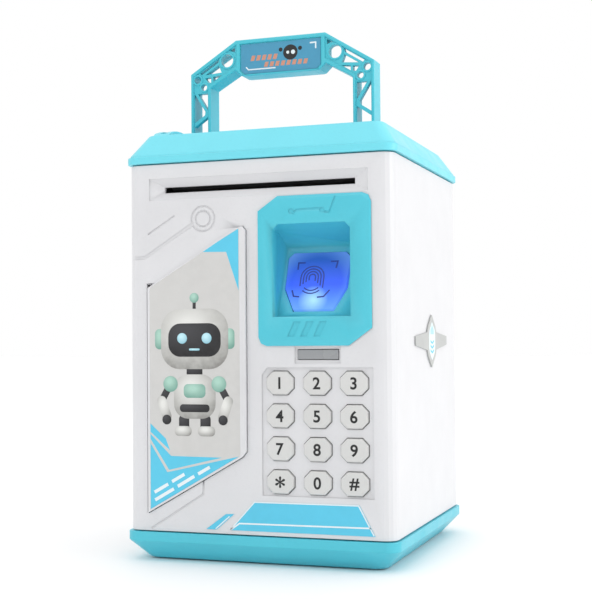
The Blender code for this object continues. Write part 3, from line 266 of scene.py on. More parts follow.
def board(name, colour):
    """Solder mask over copper tracks and rows of bright pads."""
    made, tree, shader = new_material(name, colour, 0.38)
    place = coordinates(tree)
    cells = add_node(tree, "ShaderNodeTexVoronoi", {"Vector": place, "Scale": 260.0, "Randomness": 0.35},
                     feature="DISTANCE_TO_EDGE", distance="EUCLIDEAN").outputs["Distance"]
    track = spread(tree, cells, 0.05, 0.11, 1.0, 0.0)
    tone = mix(tree, track, colour, shade(colour, 1.9))
    dots = add_node(tree, "ShaderNodeTexVoronoi", {"Vector": place, "Scale": 330.0, "Randomness": 0.1})
    pad = spread(tree, dots.outputs["Distance"], 0.16, 0.20, 1.0, 0.0)
    tone = mix(tree, pad, tone, (0.62, 0.60, 0.55))
    finish_shader(tree, shader, tone, None, bump(tree, track, 0.3, 0.00005))
    return made


def jacket(name, colour, end_colour, turned_round):
    """A dry cell's printed jacket: a plain body, a second colour over the last quarter and a bare tip."""
    made, tree, shader = new_material(name, colour, 0.3)
    across = add_node(tree, "ShaderNodeTexCoord").outputs["Generated"]
    along = add_node(tree, "ShaderNodeSeparateXYZ", {"Vector": across}).outputs["X"]
    limits = (0.27, 0.25) if turned_round else (0.73, 0.75)
    tone = mix(tree, spread(tree, along, *limits, 0.0, 1.0), colour, end_colour)
    tips = (0.03, 0.02) if turned_round else (0.97, 0.98)
    tone = mix(tree, spread(tree, along, *tips, 0.0, 1.0), tone, (0.62, 0.62, 0.60))
    scuff = noise(tree, coordinates(tree), 240, 4)
    tone = mix(tree, spread(tree, scuff, 0.55, 0.75, 0.0, 0.3), tone, shade(colour, 1.6))
    finish_shader(tree, shader, tone, spread(tree, scuff, 0.3, 0.7, 0.24, 0.40))
    return made


def lit_window(name):
    """Clear blue plastic lit from behind: deep blue above, pale below, with a hot spot over the lamp."""
    made, tree, shader = new_material(name, (0.02, 0.08, 0.35), 0.34)
    across = add_node(tree, "ShaderNodeTexCoord").outputs["Generated"]
    up = add_node(tree, "ShaderNodeSeparateXYZ", {"Vector": across}).outputs["Z"]
    tone = mix(tree, spread(tree, up, 0.02, 0.45, 0.0, 1.0), (0.14, 0.40, 0.95), (0.035, 0.085, 0.90))
    tone = mix(tree, spread(tree, up, 0.45, 0.90, 0.0, 1.0), tone, (0.006, 0.055, 0.26))
    flat = flattened(tree, across)
    far = distance(tree, flat, (0.48, 0, 0.20))
    tone = mix(tree, spread(tree, far, 0.02, 0.24, 1.0, 0.0), tone, (0.55, 1.0, 1.0))
    side = distance(tree, flat, (0.5, 0, 0.5))
    tone = mix(tree, spread(tree, side, 0.40, 0.62, 0.0, 0.55), tone, (0.18, 0.40, 0.80))
    tone = mix(tree, spread(tree, noise(tree, coordinates(tree), 150, 3), 0.4, 0.7, 0.0, 0.12), tone,
               (0.02, 0.08, 0.50))
    tree.links.new(tone, shader.inputs["Emission Color"])
    shader.inputs["Emission Strength"].default_value = 0.82
    shader.inputs["Specular IOR Level"].default_value = 0.25
    finish_shader(tree, shader, None, None, bump(tree, noise(tree, coordinates(tree), 900, 2), 0.05, 0.00004))
    return made


WHITE = moulded("body_white", (0.70, 0.70, 0.715), 0.36)
CYAN = moulded("shell_cyan", (0.078, 0.545, 0.665), 0.34)
# Painted light: the lid is the shell's cyan plastic, painted lighter for the light its up-facing slopes catch.
LID_CYAN_PAINTED_LIGHTER = moulded("lid_cyan_painted_lighter", (0.164, 0.684, 0.793), 0.36)
HANDLE_CYAN = moulded("handle_cyan", (0.065, 0.53, 0.63), 0.34)
KEY_WHITE = moulded("key_white", (0.64, 0.64, 0.628), 0.40, grain=0.6)
LENS = moulded("lens_grey", (0.30, 0.31, 0.32), 0.22, grain=0.3)
BADGE = printed("badge_grey", (0.46, 0.47, 0.46), 0.34)
GEAR = moulded("gear_natural", (0.72, 0.70, 0.63), 0.42)
BLACK = moulded("chassis_black", (0.022, 0.022, 0.023), 0.45)
STEEL = metal("bright_steel", (0.56, 0.56, 0.57), 0.30, (0.08, 1, 1))
COPPER = wound("wound_copper", (0.72, 0.33, 0.15))
RUBBER = rubbery("roller_rubber", (0.030, 0.030, 0.031), 0.78)
SILICONE = rubbery("membrane_rubber", (0.33, 0.34, 0.35), 0.70)
BOARD = board("solder_mask", (0.018, 0.16, 0.055))
CELL = jacket("cell_jacket", (0.015, 0.06, 0.03), (0.50, 0.24, 0.08), False)
CELL_TURNED = jacket("cell_jacket_turned", (0.015, 0.06, 0.03), (0.50, 0.24, 0.08), True)
GLOW = lit_window("window_glow")

LABEL_WHITE = printed("label_white", (0.60, 0.595, 0.58))
INK_CYAN = printed("ink_cyan", (0.10, 0.56, 0.77))
INK_WHITE = printed("ink_white", (0.78, 0.84, 0.86))
INK_BLACK = printed("ink_black", (0.010, 0.010, 0.011))
INK_BLUE = printed("ink_blue", (0.060, 0.30, 0.47))
INK_NAVY = printed("ink_navy", (0.012, 0.040, 0.30))
INK_CORAL = printed("ink_coral", (0.62, 0.27, 0.18))
INK_SKY = printed("ink_sky", (0.42, 0.70, 0.92))
BADGE_CENTRE = printed("badge_centre", (0.78, 0.90, 0.95))
TOY_SHELL = pictured("toy_shell", (0.78, 0.78, 0.75), (0.24, 0.235, 0.22))
TOY_MINT = pictured("toy_mint", (0.42, 0.66, 0.56), (0.12, 0.30, 0.24))
TOY_DARK = pictured("toy_dark", (0.050, 0.050, 0.055), (0.008, 0.008, 0.009), (0.3, 0.0, 0.8))
TOY_EYE = pictured("toy_eye", (0.55, 0.85, 0.92), (0.20, 0.48, 0.60))


# ---- CAD nodes, softened where that works ----
def welded(mesh):
    """The node's mesh with its corners joined and its flat triangles evenly shaped."""
    work = bmesh.new()
    work.from_mesh(mesh)
    bmesh.ops.remove_doubles(work, verts=work.verts, dist=WELD)
    flat = [e for e in work.edges if len(e.link_faces) == 2 and e.calc_face_angle(0) < FLAT_ANGLE]
    bmesh.ops.beautify_fill(work, faces=work.faces, edges=flat)
    return work


def sharp_edges(work, size):
    """The edges that are long enough, with their neighbours, to take a bevel of this size."""
    sharp = {e for e in work.edges if len(e.link_faces) == 2 and e.calc_face_angle(0) > SHARP_ANGLE}
    need = BEVEL_ROOM * size
    return [e for e in sharp
            if e.calc_length() > need and all(n.calc_length() > need for v in e.verts for n in v.link_edges
                                              if n in sharp)]


def faults(work):
    """Where the bevelled surface folds back on itself or passes through itself."""
    places = []
    for edge in work.edges:
        if len(edge.link_faces) == 2 and edge.calc_face_angle(0) > FOLD_ANGLE:
            places += [v.co.copy() for v in edge.verts]
    work.faces.ensure_lookup_table()
    tree = BVHTree.FromBMesh(work)
    corners = [set(v.index for v in f.verts) for f in work.faces]
    for one, two in tree.overlap(tree):
        if one < two and not corners[one] & corners[two]:
            small = min((work.faces[one], work.faces[two]), key=lambda f: f.calc_area())
            places += [v.co.copy() for v in small.verts]
    return places


def soften(mesh, size, segments):
    """Rounds a node's sharp edges, apart from those near a fault found in an earlier try.

    A node that is never free of faults is given back with none of its edges rounded. The body shell and the
    scanner bezel end that way, and show only the roundness that the CAD gives them.
    """
    barred = []
    reach = BARRED_REACH * size
    for _ in range(BEVEL_TRIES):
        work = welded(mesh)
        edges = [e for e in sharp_edges(work, size)
                 if not any((v.co - p).length < reach for p in barred for v in e.verts)]
        bmesh.ops.bevel(work, geom=edges, offset=size, offset_type="OFFSET", segments=segments, profile=0.5,
                        affect="EDGES", clamp_overlap=False)
        bmesh.ops.triangulate(work, faces=work.faces)
        places = faults(work)
        if not places:
            work.to_mesh(mesh)
            work.free()
            return
        work.free()
        barred += places
        reach *= BARRED_GROWTH
    work = welded(mesh)
    work.to_mesh(mesh)
    work.free()


def refine(node, finish, width=0.25, segments=2):
    """The CAD node's own shape in the finished material, with its edges rounded where soften() can do it."""
    mesh = frame["nodes"][node].data.copy()
    mesh.name = f"{node}_fine"
    soften(mesh, width * MM, segments)
    return stand_in(node, mesh, finish)


def stand_in(node, mesh, finish):
    """A finer mesh shown in place of a CAD node."""
    mesh.materials.clear()
    mesh.materials.append(finish)
    mesh.shade_smooth()
    mesh.set_sharp_from_angle(angle=CREASE_ANGLE)
    piece = bpy.data.objects.new(f"{node}_fine", mesh)
    bpy.context.scene.collection.objects.link(piece)
    even = piece.modifiers.new("even_normals", "WEIGHTED_NORMAL")
    even.keep_sharp = True
    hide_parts(node)
    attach(piece, BODY_OF[node])
    return piece


def repaint(node, finish):
    """A carried-over CAD node takes a finished material."""
    mesh = frame["nodes"][node].data
    mesh.materials.clear()
    mesh.materials.append(finish)


refine("body_shell", WHITE, 0.25)
refine("top_cover", LID_CYAN_PAINTED_LIGHTER, 0.45, 3)
refine("base_tray", CYAN, 0.40, 3)
refine("battery_cover", CYAN, 0.25)
refine("scanner_bezel", CYAN, 0.30)
refine("scanner_window", GLOW, 0.45, 3)
refine("indicator_lens", LENS, 0.25)
refine("cash_partition", WHITE, 0.25)
refine("feeder_frame", BLACK, 0.2)
refine("bill_sensor", BLACK, 0.25)
refine("latch_bolt", STEEL, 0.2)
refine("latch_coil", COPPER, 0.3)
for node in frame["nodes"]:
    if node.startswith("key_"):
        refine(node, KEY_WHITE, 0.22)
for side in ("left", "right"):
    refine(f"side_badge_{side}", BADGE, 0.15)
    refine(f"battery_contact_{side}", STEEL, 0.12)
for node, finish in (
    ("front_decal", INK_CYAN), ("front_decal_end", INK_CYAN),
    ("door_label", LABEL_WHITE), ("handle_label", INK_BLUE),
    ("scanner_board", BOARD), ("keypad_board", BOARD), ("main_board", BOARD), ("keypad_membrane", SILICONE),
    ("door_pin_upper", STEEL), ("door_pin_lower", STEEL),
    ("handle_pin_left", STEEL), ("handle_pin_right", STEEL),
    ("latch_spring", STEEL), ("feed_motor", STEEL), ("feed_roller", RUBBER), ("pinch_roller", RUBBER),
    ("feed_gear", GEAR), ("motor_pinion", GEAR), ("speaker", BLACK), ("battery_cover_screw", STEEL),
    ("base_screw_front_left", STEEL), ("base_screw_front_right", STEEL), ("base_screw_rear_left", STEEL),
    ("base_screw_rear_right", STEEL), ("battery_1", CELL), ("battery_2", CELL_TURNED), ("battery_3", CELL),
):
    repaint(node, finish)


# ---- thin printed films ----
def face(origin, across, up):
    """Local (across, up, outwards) to the row frame."""
    outwards = across.cross(up)
    return Matrix.Translation(origin) @ Matrix((across, up, outwards)).transposed().to_4x4()


def on_front_face(node):
    """The plane of a node's front, with heights from the body's lower edge."""
    return face(Vector((0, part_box(node)[0].y, BODY_LOW)), X_AXIS, Z_AXIS)


def thin_mesh(name, loops, low, high, place):
    curve = bpy.data.curves.new(name, "CURVE")
    curve.dimensions = "2D"
    curve.fill_mode = "BOTH"
    curve.extrude = (high - low) / 2 * MM
    for loop in loops:
        add_loop(curve, loop)
    return solid_from(curve, (low + high) / 2, place)


def add_loop(curve, loop):
    spline = curve.splines.new("POLY")
    spline.points.add(len(loop) - 1)
    for point, (u, v) in zip(spline.points, loop):
        point.co = (u * MM, v * MM, 0.0, 1.0)
    spline.use_cyclic_u = True


def solid_from(curve, height, place):
    """A closed mesh from a filled curve, moved to its face."""
    drawn = bpy.data.objects.new(curve.name, curve)
    bpy.context.scene.collection.objects.link(drawn)
    bpy.context.view_layer.update()
    mesh = bpy.data.meshes.new_from_object(drawn.evaluated_get(bpy.context.evaluated_depsgraph_get()))
    bpy.data.objects.remove(drawn)
    bpy.data.curves.remove(curve)
    mesh.transform(place @ Matrix.Translation((0, 0, height * MM)))
    work = bmesh.new()
    work.from_mesh(mesh)
    bmesh.ops.remove_doubles(work, verts=work.verts, dist=WELD)
    bmesh.ops.recalc_face_normals(work, faces=work.faces)
    bpy.data.meshes.remove(mesh)
    made = bpy.data.meshes.new("printed_shape")
    work.to_mesh(made)
    work.free()
    return made


def settle(name, mesh, finish, body):
    mesh.name = name
    mesh.materials.clear()
    mesh.materials.append(finish)
    piece = bpy.data.objects.new(name, mesh)
    bpy.context.scene.collection.objects.link(piece)
    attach(piece, body)
    return piece


def film(name, loops, layer, place, finish, body, slot):
    """A flat print, each layer a hair's breadth above the one below."""
    low, high = (layer - 1) * FILM + FILM_GAP, layer * FILM
    return settle(name, thin_mesh(name, loops, low, high, place), finish, body)


def glyph(name, text, centre, size, layer, place, finish, body, weight):
    """A character centred on a point, in the built-in sans-serif face."""
    curve = bpy.data.curves.new(name, "FONT")
    curve.body = text
    curve.size = size * MM
    curve.offset = weight * MM
    curve.extrude = (FILM - FILM_GAP) / 2 * MM
    mesh = solid_from(curve, 0.0, Matrix.Identity(4))
    corners = [Vector(v.co) for v in mesh.vertices]
    middle = [(min(c[i] for c in corners) + max(c[i] for c in corners)) / 2 for i in range(2)]
    shift = Vector((centre[0] * MM - middle[0], centre[1] * MM - middle[1], (layer * FILM - FILM / 2) * MM))
    mesh.transform(place @ Matrix.Translation(shift))
    return settle(name, mesh, finish, body)


def stroke(points, width):
    """The outline of a line of one width along bent points, with mitred corners."""
    left, right = [], []
    for i, point in enumerate(points):
        here = Vector(point)
        into = (here - Vector(points[max(i - 1, 0)])).normalized()
        out = (Vector(points[min(i + 1, len(points) - 1)]) - here).normalized()
        along = (into + out).normalized()
        across = Vector((-along.y, along.x))
        edge = out if out.length else into
        reach = width / 2 / max(across.dot(Vector((-edge.y, edge.x))), STROKE_MITRE_LIMIT)
        left.append(tuple(here + across * reach))
        right.append(tuple(here - across * reach))
    return left + right[::-1]


def arc(centre, radius, start, end, steps=16):
    angles = [math.radians(start + (end - start) * i / steps) for i in range(steps + 1)]
    return [(centre[0] + radius * math.cos(a), centre[1] + radius * math.sin(a)) for a in angles]


def circle(centre, radius, steps=28):
    return arc(centre, radius, 0, 360 - 360 / steps, steps - 1)


def rectangle(across, heights):
    """A plain rectangle between two places across and two heights, anticlockwise."""
    (left, right), (low, high) = across, heights
    return [(left, low), (right, low), (right, high), (left, high)]


def rounded(centre, width, height, radius, steps=7):
    """A rectangle with round corners, anticlockwise."""
    x, z = width / 2 - radius, height / 2 - radius
    loop = []
    for sx, sz, start in ((1, 1, 0), (-1, 1, 90), (-1, -1, 180), (1, -1, 270)):
        loop += arc((centre[0] + sx * x, centre[1] + sz * z), radius, start, start + 90, steps)
    return loop


def capsule(start, end, radius, steps=10):
    """A round-ended bar between two points."""
    angle = math.degrees(math.atan2(end[1] - start[1], end[0] - start[0]))
    tail = arc(start, radius, angle + 90, angle + 270, steps)
    return tail + arc(end, radius, angle - 90, angle + 90, steps)


def mirrored(loop):
    return [(-x, z) for x, z in reversed(loop)]


# ---- pieces made of rounded plates ----
def rounded_plate(name, loops, low, high, place, edge):
    """An outline with holes, thickened from low to high, whose edges are all rounded to one radius."""
    curve = bpy.data.curves.new(name, "CURVE")
    curve.dimensions = "2D"
    curve.fill_mode = "BOTH"
    curve.extrude = ((high - low) / 2 - edge) * MM
    curve.bevel_depth = edge * MM
    curve.bevel_resolution = 2
    curve.offset = -edge * MM
    for loop in loops:
        add_loop(curve, loop)
    return solid_from(curve, (low + high) / 2, place)


def joined(name, meshes):
    """Several closed solids in one mesh."""
    work = bmesh.new()
    for mesh in meshes:
        work.from_mesh(mesh)
        bpy.data.meshes.remove(mesh)
    made = bpy.data.meshes.new(name)
    work.to_mesh(made)
    work.free()
    return made


def grown(loop, distance):
    """The same outline moved outwards by a distance, with mitred corners."""
    area = sum(a[0] * b[1] - b[0] * a[1] for a, b in zip(loop, loop[1:] + loop[:1]))
    turn = 1 if area > 0 else -1
    made = []
    for i, point in enumerate(loop):
        here = Vector(point)
        into = (here - Vector(loop[i - 1])).normalized()
        out = (Vector(loop[(i + 1) % len(loop)]) - here).normalized()
        normal_in, normal_out = Vector((into.y, -into.x)) * turn, Vector((out.y, -out.x)) * turn
        mitre = (normal_in + normal_out).normalized()
        made.append(tuple(here + mitre * distance / max(mitre.dot(normal_in), GROWN_MITRE_LIMIT)))
    return made


HANDLE_DEPTH = 11.4
HANDLE_EDGE = 0.45
HANDLE_LEG = (36.8, 47.4)
LEG_START = 3.0
WINDOW_SILL = 6.5
LABEL_RECESS = 0.9
LABEL_BED_SETBACK = 0.3
LABEL_BED_EDGE = 0.25
OVERLAP = 0.5
BRACE_SETBACK = 0.8
BRACE_DEPTH = 3.2
BRACE_EDGE = 0.15
BRACE_RINGS = ((28.0, 227.0), 3.2), ((43.9, 218.5), 1.8), ((40.5, 214.6), 1.6)
RING_WALL = 0.95
RING_RISE = 0.4
RING_SINK = 0.2
RING_EDGE = 0.2
RING_STEPS = 32
FOOT_RISE = 3.4
FOOT_SIDE_GAP = 0.02
PIN_BORE_RADIUS = 1.75


def handle_loops():
    """Heights above the body's lower edge: the arch, its two side windows and the label's window."""
    pivot = handle_pivot().z
    foot = (pivot - BODY_LOW) / MM
    low = foot + LEG_START
    half = [(HANDLE_LEG[0], low), (HANDLE_LEG[0], 214.0), (23.4, 221.8), (20.2, 218.8)]
    outer = [(23.1, 236.6), (HANDLE_LEG[1], 221.4), (HANDLE_LEG[1], low)]
    arch = mirrored(outer) + outer + half + mirrored(half)
    sill = foot + WINDOW_SILL
    window = [(38.2, sill), (46.0, sill), (46.0, 220.2), (23.0, 234.5), (23.0, 224.2), (38.2, 215.0)]
    plate = [(19.0, 219.2), (21.0, 221.2), (21.0, 234.6)]
    return arch, window, plate + mirrored(plate)


def handle_pivot():
    joint = next(j for j in frame["joints"] if j["name"] == "handle_fold")
    return Vector(joint["pos_m"])


def brace_holes():
    """The openings between the braces of the right-hand side: three rings and the triangles around them."""
    return [circle(centre, radius, RING_STEPS) for centre, radius in BRACE_RINGS] + [
        [(32.3, 228.3), (42.6, 221.9), (41.8, 220.9), (32.9, 226.5)],
        [(32.6, 225.2), (39.8, 220.8), (31.2, 221.5)],
        [(31.2, 220.1), (35.6, 219.6), (35.6, 217.3)],
        [(36.8, 219.5), (39.9, 219.2), (38.3, 216.9), (36.8, 216.9)],
        [(23.8, 233.4), (23.8, 230.9), (26.8, 231.9)],
        [(38.6, 211.5), (43.8, 211.5), (38.6, 203.1)],
        [(45.7, 211.7), (45.7, 197.2), (40.2, 200.8), (40.0, 202.5)],
        [(38.6, 199.8), (45.7, 195.0), (45.7, 188.7), (38.6, 188.7)],
    ]


def make_handle():
    """The trussed arch: rounded flanges, thinner braces with ring bosses, and feet round the pivot."""
    pivot = handle_pivot()
    place = face(Vector((0, pivot.y, BODY_LOW)), X_AXIS, Z_AXIS)
    arch, window, plate = handle_loops()
    half = HANDLE_DEPTH / 2
    solids = [
        rounded_plate("arch", [arch, window, mirrored(window), plate], -half, half, place, HANDLE_EDGE),
        rounded_plate("label_bed", [grown(plate, OVERLAP)], LABEL_BED_SETBACK - half, half - LABEL_RECESS,
                      place, LABEL_BED_EDGE),
    ]
    for name, turn in (("right", lambda loop: loop), ("left", mirrored)):
        holes = [turn(loop) for loop in brace_holes()]
        low, high = half - BRACE_SETBACK - BRACE_DEPTH, half - BRACE_SETBACK
        loops = [turn(grown(window, OVERLAP)), *holes]
        solids.append(rounded_plate(f"braces_{name}", loops, low, high, place, BRACE_EDGE))
        for ring, radius in BRACE_RINGS:
            loops = [turn(circle(ring, size, RING_STEPS)) for size in (radius + RING_WALL, radius)]
            bottom, top = low + RING_SINK, high + RING_RISE
            solids.append(rounded_plate(f"ring_{name}", loops, bottom, top, place, RING_EDGE))
    foot_top = half + FOOT_RISE
    outline = [(-half, foot_top)] + arc((0, 0), half, 180, 360, 16) + [(half, foot_top)]
    for side in (-1, 1):
        middle = side * sum(HANDLE_LEG) / 2
        foot_place = face(pivot + Vector((middle * MM, 0, 0)), Y_AXIS, Z_AXIS)
        reach = (HANDLE_LEG[1] - HANDLE_LEG[0]) / 2 - FOOT_SIDE_GAP
        bore = circle((0, 0), PIN_BORE_RADIUS, 20)
        solids.append(rounded_plate("foot", [outline, bore], -reach, reach, foot_place, HANDLE_EDGE))
    stand_in("handle", joined("handle_fine", solids), HANDLE_CYAN)


DOOR_OUTLINE = [
    (-54.2, 8.4), (-6.6, 35.4), (-4.7, 38.0), (-4.7, 139.2), (-6.2, 141.0), (-9.0, 140.4), (-54.2, 113.6),
]
LABEL_OUTLINE = [(-53.0, 9.9), (-7.6, 35.8), (-7.6, 140.0), (-9.2, 139.6), (-53.0, 113.7)]
RECESS_DEPTH = 0.35
RIM_DEPTH = 1.9
RIM_EDGE = 0.12
SLAB_DEPTH = 3.65
SLAB_EDGE = 0.2
SLAB_INSET = 0.05
RIB_SPAN = (-1.2, 1.8)
RIB_HEIGHTS = (11.4, 113.0)
RIB_DEPTHS = (3.2, 5.65)
RIB_EDGE = 0.3
CATCH_MIDDLE = -8.45
CATCH_WIDTH = 3.9
CATCH_EDGE = 0.1
CATCH_HALF_HEIGHT = 4.0
CATCH_REACH = (-5.6, 2.9)
CATCH_HOLE = 5.2


def make_door():
    """The door: a slab with a rounded raised rim round the label, a hinge rib and a catch."""
    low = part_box("door")[0]
    place = face(Vector((0, low.y, BODY_LOW)), X_AXIS, Z_AXIS)
    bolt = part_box("latch_bolt")
    hinge = next(Vector(j["pos_m"]) for j in frame["joints"] if j["name"] == "door_swing")
    slab = grown(DOOR_OUTLINE, -SLAB_INSET)
    solids = [
        rounded_plate("rim", [DOOR_OUTLINE, LABEL_OUTLINE], -RIM_DEPTH, 0.0, place, RIM_EDGE),
        rounded_plate("slab", [slab], -SLAB_DEPTH, -RECESS_DEPTH, place, SLAB_EDGE),
    ]
    rib = rectangle(RIB_SPAN, RIB_HEIGHTS)
    rib_place = face(Vector((hinge.x, low.y, BODY_LOW)), X_AXIS, Z_AXIS)
    solids.append(rounded_plate("hinge_rib", [rib], -RIB_DEPTHS[1], -RIB_DEPTHS[0], rib_place, RIB_EDGE))
    middle = (bolt[0] + bolt[1]) / 2
    side = face(Vector((CATCH_MIDDLE * MM, middle.y, middle.z)), Y_AXIS, Z_AXIS)
    around = rectangle(CATCH_REACH, (-CATCH_HALF_HEIGHT, CATCH_HALF_HEIGHT))
    hole = rectangle((-CATCH_HOLE / 2, CATCH_HOLE / 2), (-CATCH_HOLE / 2, CATCH_HOLE / 2))
    half = CATCH_WIDTH / 2
    solids.append(rounded_plate("catch", [around, hole], -half, half, side, CATCH_EDGE))
    stand_in("door", joined("door_fine", solids), WHITE)


make_handle()
make_door()


# ---- keys ----
GLYPHS = {"star": "*", "hash": "#"}
DIGIT_SIZE = 7.4
STAR_SIZE = 11.0
DIGIT_WEIGHT = 0.16


def make_digits():
    for node in sorted(n for n in frame["nodes"] if n.startswith("key_")):
        low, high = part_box(node)
        key = node.split("_")[1]
        centre = ((low.x + high.x) / 2 / MM, ((low.z + high.z) / 2 - BODY_LOW) / MM)
        size = STAR_SIZE if key == "star" else DIGIT_SIZE
        glyph(f"{node}_print", GLYPHS.get(key, key), centre, size, 1, on_front_face(node), INK_BLACK, node,
              DIGIT_WEIGHT)


make_digits()


# ---- door label: cyan corner shapes and a toy robot ----
def make_label_shapes():
    place = on_front_face("door_label")
    shapes = {
        "label_arrow": [(-26.3, 129.8), (-7.9, 140.0), (-7.9, 111.5), (-14.0, 129.5)],
        "label_corner_upper": [(-52.9, 50.1), (-45.0, 43.1), (-42.8, 37.6), (-52.9, 46.2)],
        "label_corner_middle": [(-52.9, 45.2), (-42.3, 35.1), (-16.6, 34.9), (-43.4, 28.6), (-52.9, 42.9)],
        "label_corner_lower": [(-52.9, 40.9), (-44.3, 27.5), (-8.3, 35.6), (-52.9, 10.1)],
    }
    for name, loop in shapes.items():
        film(name, [loop], 1, place, INK_CYAN, "door", "label_film")
    bars = (((-50.9, 18.0), (-43.9, 22.0)), ((-41.9, 23.2), (-35.6, 26.8)),
            ((-50.6, 14.4), (-41.0, 19.9)), ((-39.0, 21.1), (-30.6, 26.0)), ((-28.6, 27.1), (-22.8, 30.4)))
    for i, ends in enumerate(bars):
        film(f"label_bar_{i + 1}", [stroke(ends, 1.5)], 2, place, INK_WHITE, "door", "label_film")


def make_label_robot():
    """A plain toy robot: a boxy head with an antenna, a screen with two round eyes, and a barrel body."""
    place = on_front_face("door_label")
    middle = -30.2

    def part(name, loops, layer, finish):
        film(f"robot_{name}", loops, layer, place, finish, "door", "label_film")

    head = (middle, 89.5)
    part("head", [rounded(head, 34.0, 28.0, 9.5)], 2, TOY_SHELL)
    part("screen", [rounded((middle, 89.0), 26.5, 15.5, 6.0)], 3, TOY_DARK)
    part("antenna", [capsule((middle, 102.5), (middle, 107.0), 0.8)], 1, TOY_DARK)
    part("antenna_ball", [circle((middle, 108.6), 2.3)], 2, TOY_MINT)
    part("neck", [rounded((middle, 74.6), 8.0, 4.4, 1.0)], 1, TOY_DARK)
    part("body", [rounded((middle, 62.8), 21.0, 20.5, 7.0)], 2, TOY_SHELL)
    part("belt", [rounded((middle, 57.4), 15.0, 3.6, 1.6)], 3, TOY_DARK)
    part("chest", [rounded((middle, 65.4), 11.0, 6.4, 2.2)], 3, TOY_MINT)
    part("mouth", [capsule((middle - 2.2, 84.6), (middle + 2.2, 84.6), 0.5)], 4, TOY_EYE)
    for name, side in (("left", -1), ("right", 1)):
        part(f"ear_{name}", [rounded((middle + side * 17.6, 89.5), 5.0, 9.5, 2.2)], 1, TOY_MINT)
        part(f"eye_{name}", [circle((middle + side * 6.2, 89.8), 2.5)], 4, TOY_EYE)
        part(f"shoulder_{name}", [circle((middle + side * 12.2, 68.6), 3.7)], 3, TOY_MINT)
        elbow = (middle + side * 16.8, 60.6)
        hand = (middle + side * 14.2, 53.6)
        part(f"forearm_{name}", [capsule(elbow, hand, 2.4)], 2, TOY_SHELL)
        part(f"upper_arm_{name}", [capsule((middle + side * 13.2, 67.0), elbow, 1.7)], 1, TOY_DARK)
        part(f"hand_{name}", [circle((hand[0], hand[1] - 1.6), 2.3)], 3, TOY_DARK)
        part(f"leg_{name}", [rounded((middle + side * 5.4, 50.6), 5.2, 7.4, 2.0)], 1, TOY_DARK)
        part(f"foot_{name}", [rounded((middle + side * 5.9, 46.8), 8.6, 4.6, 2.1)], 2, TOY_SHELL)


make_label_shapes()
make_label_robot()


# ---- front decals ----
def make_decal_lines():
    place = on_front_face("front_decal")
    film("decal_stripe", [stroke([(-13.2, 1.9), (-8.7, 5.0), (53.6, 5.4)], 0.7)], 1, place, INK_WHITE, "case",
         "printed_film")
    film("decal_border", [stroke([(-13.1, 2.1), (-1.3, 14.95), (48.1, 15.1), (55.1, 2.1)], 0.55)], 1, place,
         INK_WHITE, "case", "printed_film")
    place = on_front_face("front_decal_end")
    line = stroke([(-20.5, 2.1), (-13.6, 8.0)], 0.5)
    film("decal_end_line", [line], 1, place, INK_WHITE, "case", "printed_film")


make_decal_lines()


# ---- handle label ----
def make_handle_print():
    """Corner brackets, a round two-lens emblem and rows of slanted bars."""
    place = on_front_face("handle_label")

    def part(name, loops, layer, finish):
        film(f"handle_{name}", loops, layer, place, finish, "handle", "handle_film")

    part("bracket", [stroke([(15.2, 232.3), (18.2, 232.3), (18.2, 229.4)], 0.7)], 1, INK_WHITE)
    part("underline", [stroke([(-18.0, 223.0), (-16.7, 221.6), (-2.5, 221.6)], 0.6)], 1, INK_WHITE)
    centre = (5.2, 228.6)
    part("emblem", [circle(centre, 3.7)], 2, INK_BLACK)
    for i, (dx, radius) in enumerate(((-1.3, 0.75), (1.4, 1.05))):
        part(f"emblem_lens_{i + 1}", [circle((centre[0] + dx, centre[1]), radius)], 3, INK_WHITE)
    for i, dx in enumerate((-5.0, 5.0)):
        part(f"emblem_knob_{i + 1}", [circle((centre[0] + dx, centre[1] + 1.6), 1.0)], 1, INK_BLACK)
    for i in range(5):
        x = -15.6 + 2.9 * i
        part(f"bar_upper_{i + 1}", [[(x, 225.8), (x + 1.9, 225.8), (x + 2.7, 228.4), (x + 0.8, 228.4)]], 1,
             INK_CORAL)
    for i in range(8):
        x = -8.6 + 2.9 * i
        part(f"bar_lower_{i + 1}", [[(x, 222.4), (x + 1.9, 222.4), (x + 2.6, 224.8), (x + 0.7, 224.8)]], 1,
             INK_CORAL)


make_handle_print()


# ---- side badges ----
def make_badge_print():
    for name, side in (("left", -1), ("right", 1)):
        low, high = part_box(f"side_badge_{name}")
        outer = high.x if side > 0 else low.x
        place = face(Vector((outer, (low.y + high.y) / 2, (low.z + high.z) / 2)), Y_AXIS * side, Z_AXIS)
        ring = [(0, 9.4), (5.4, 5.6), (6.6, 2.6), (6.6, -2.6), (5.4, -5.6), (0, -9.4)]
        ring += mirrored(ring[1:-1])
        slot = "badge_plastic"
        film(f"badge_{name}_centre", [ring], 1, place, BADGE_CENTRE, "case", slot)
        cap = [(0, 7.8), (3.4, 5.4), (3.4, 3.4), (-3.4, 3.4), (-3.4, 5.4)]
        film(f"badge_{name}_cap", [cap], 2, place, INK_SKY, "case", slot)
        for i in range(3):
            z = 0.6 - 2.3 * i
            bar = [(-3.6, z), (0, z - 1.2), (3.6, z), (3.6, z - 1.0), (0, z - 2.2), (-3.6, z - 1.0)]
            film(f"badge_{name}_chevron_{i + 1}", [bar], 2, place, INK_CYAN, "case", slot)


make_badge_print()


# ---- scanner window ----
BEZEL_FOOT = (5.0, 99.2)
BEZEL_APEX = (19.5, 132.4)
WINDOW_FRONT = 0.9


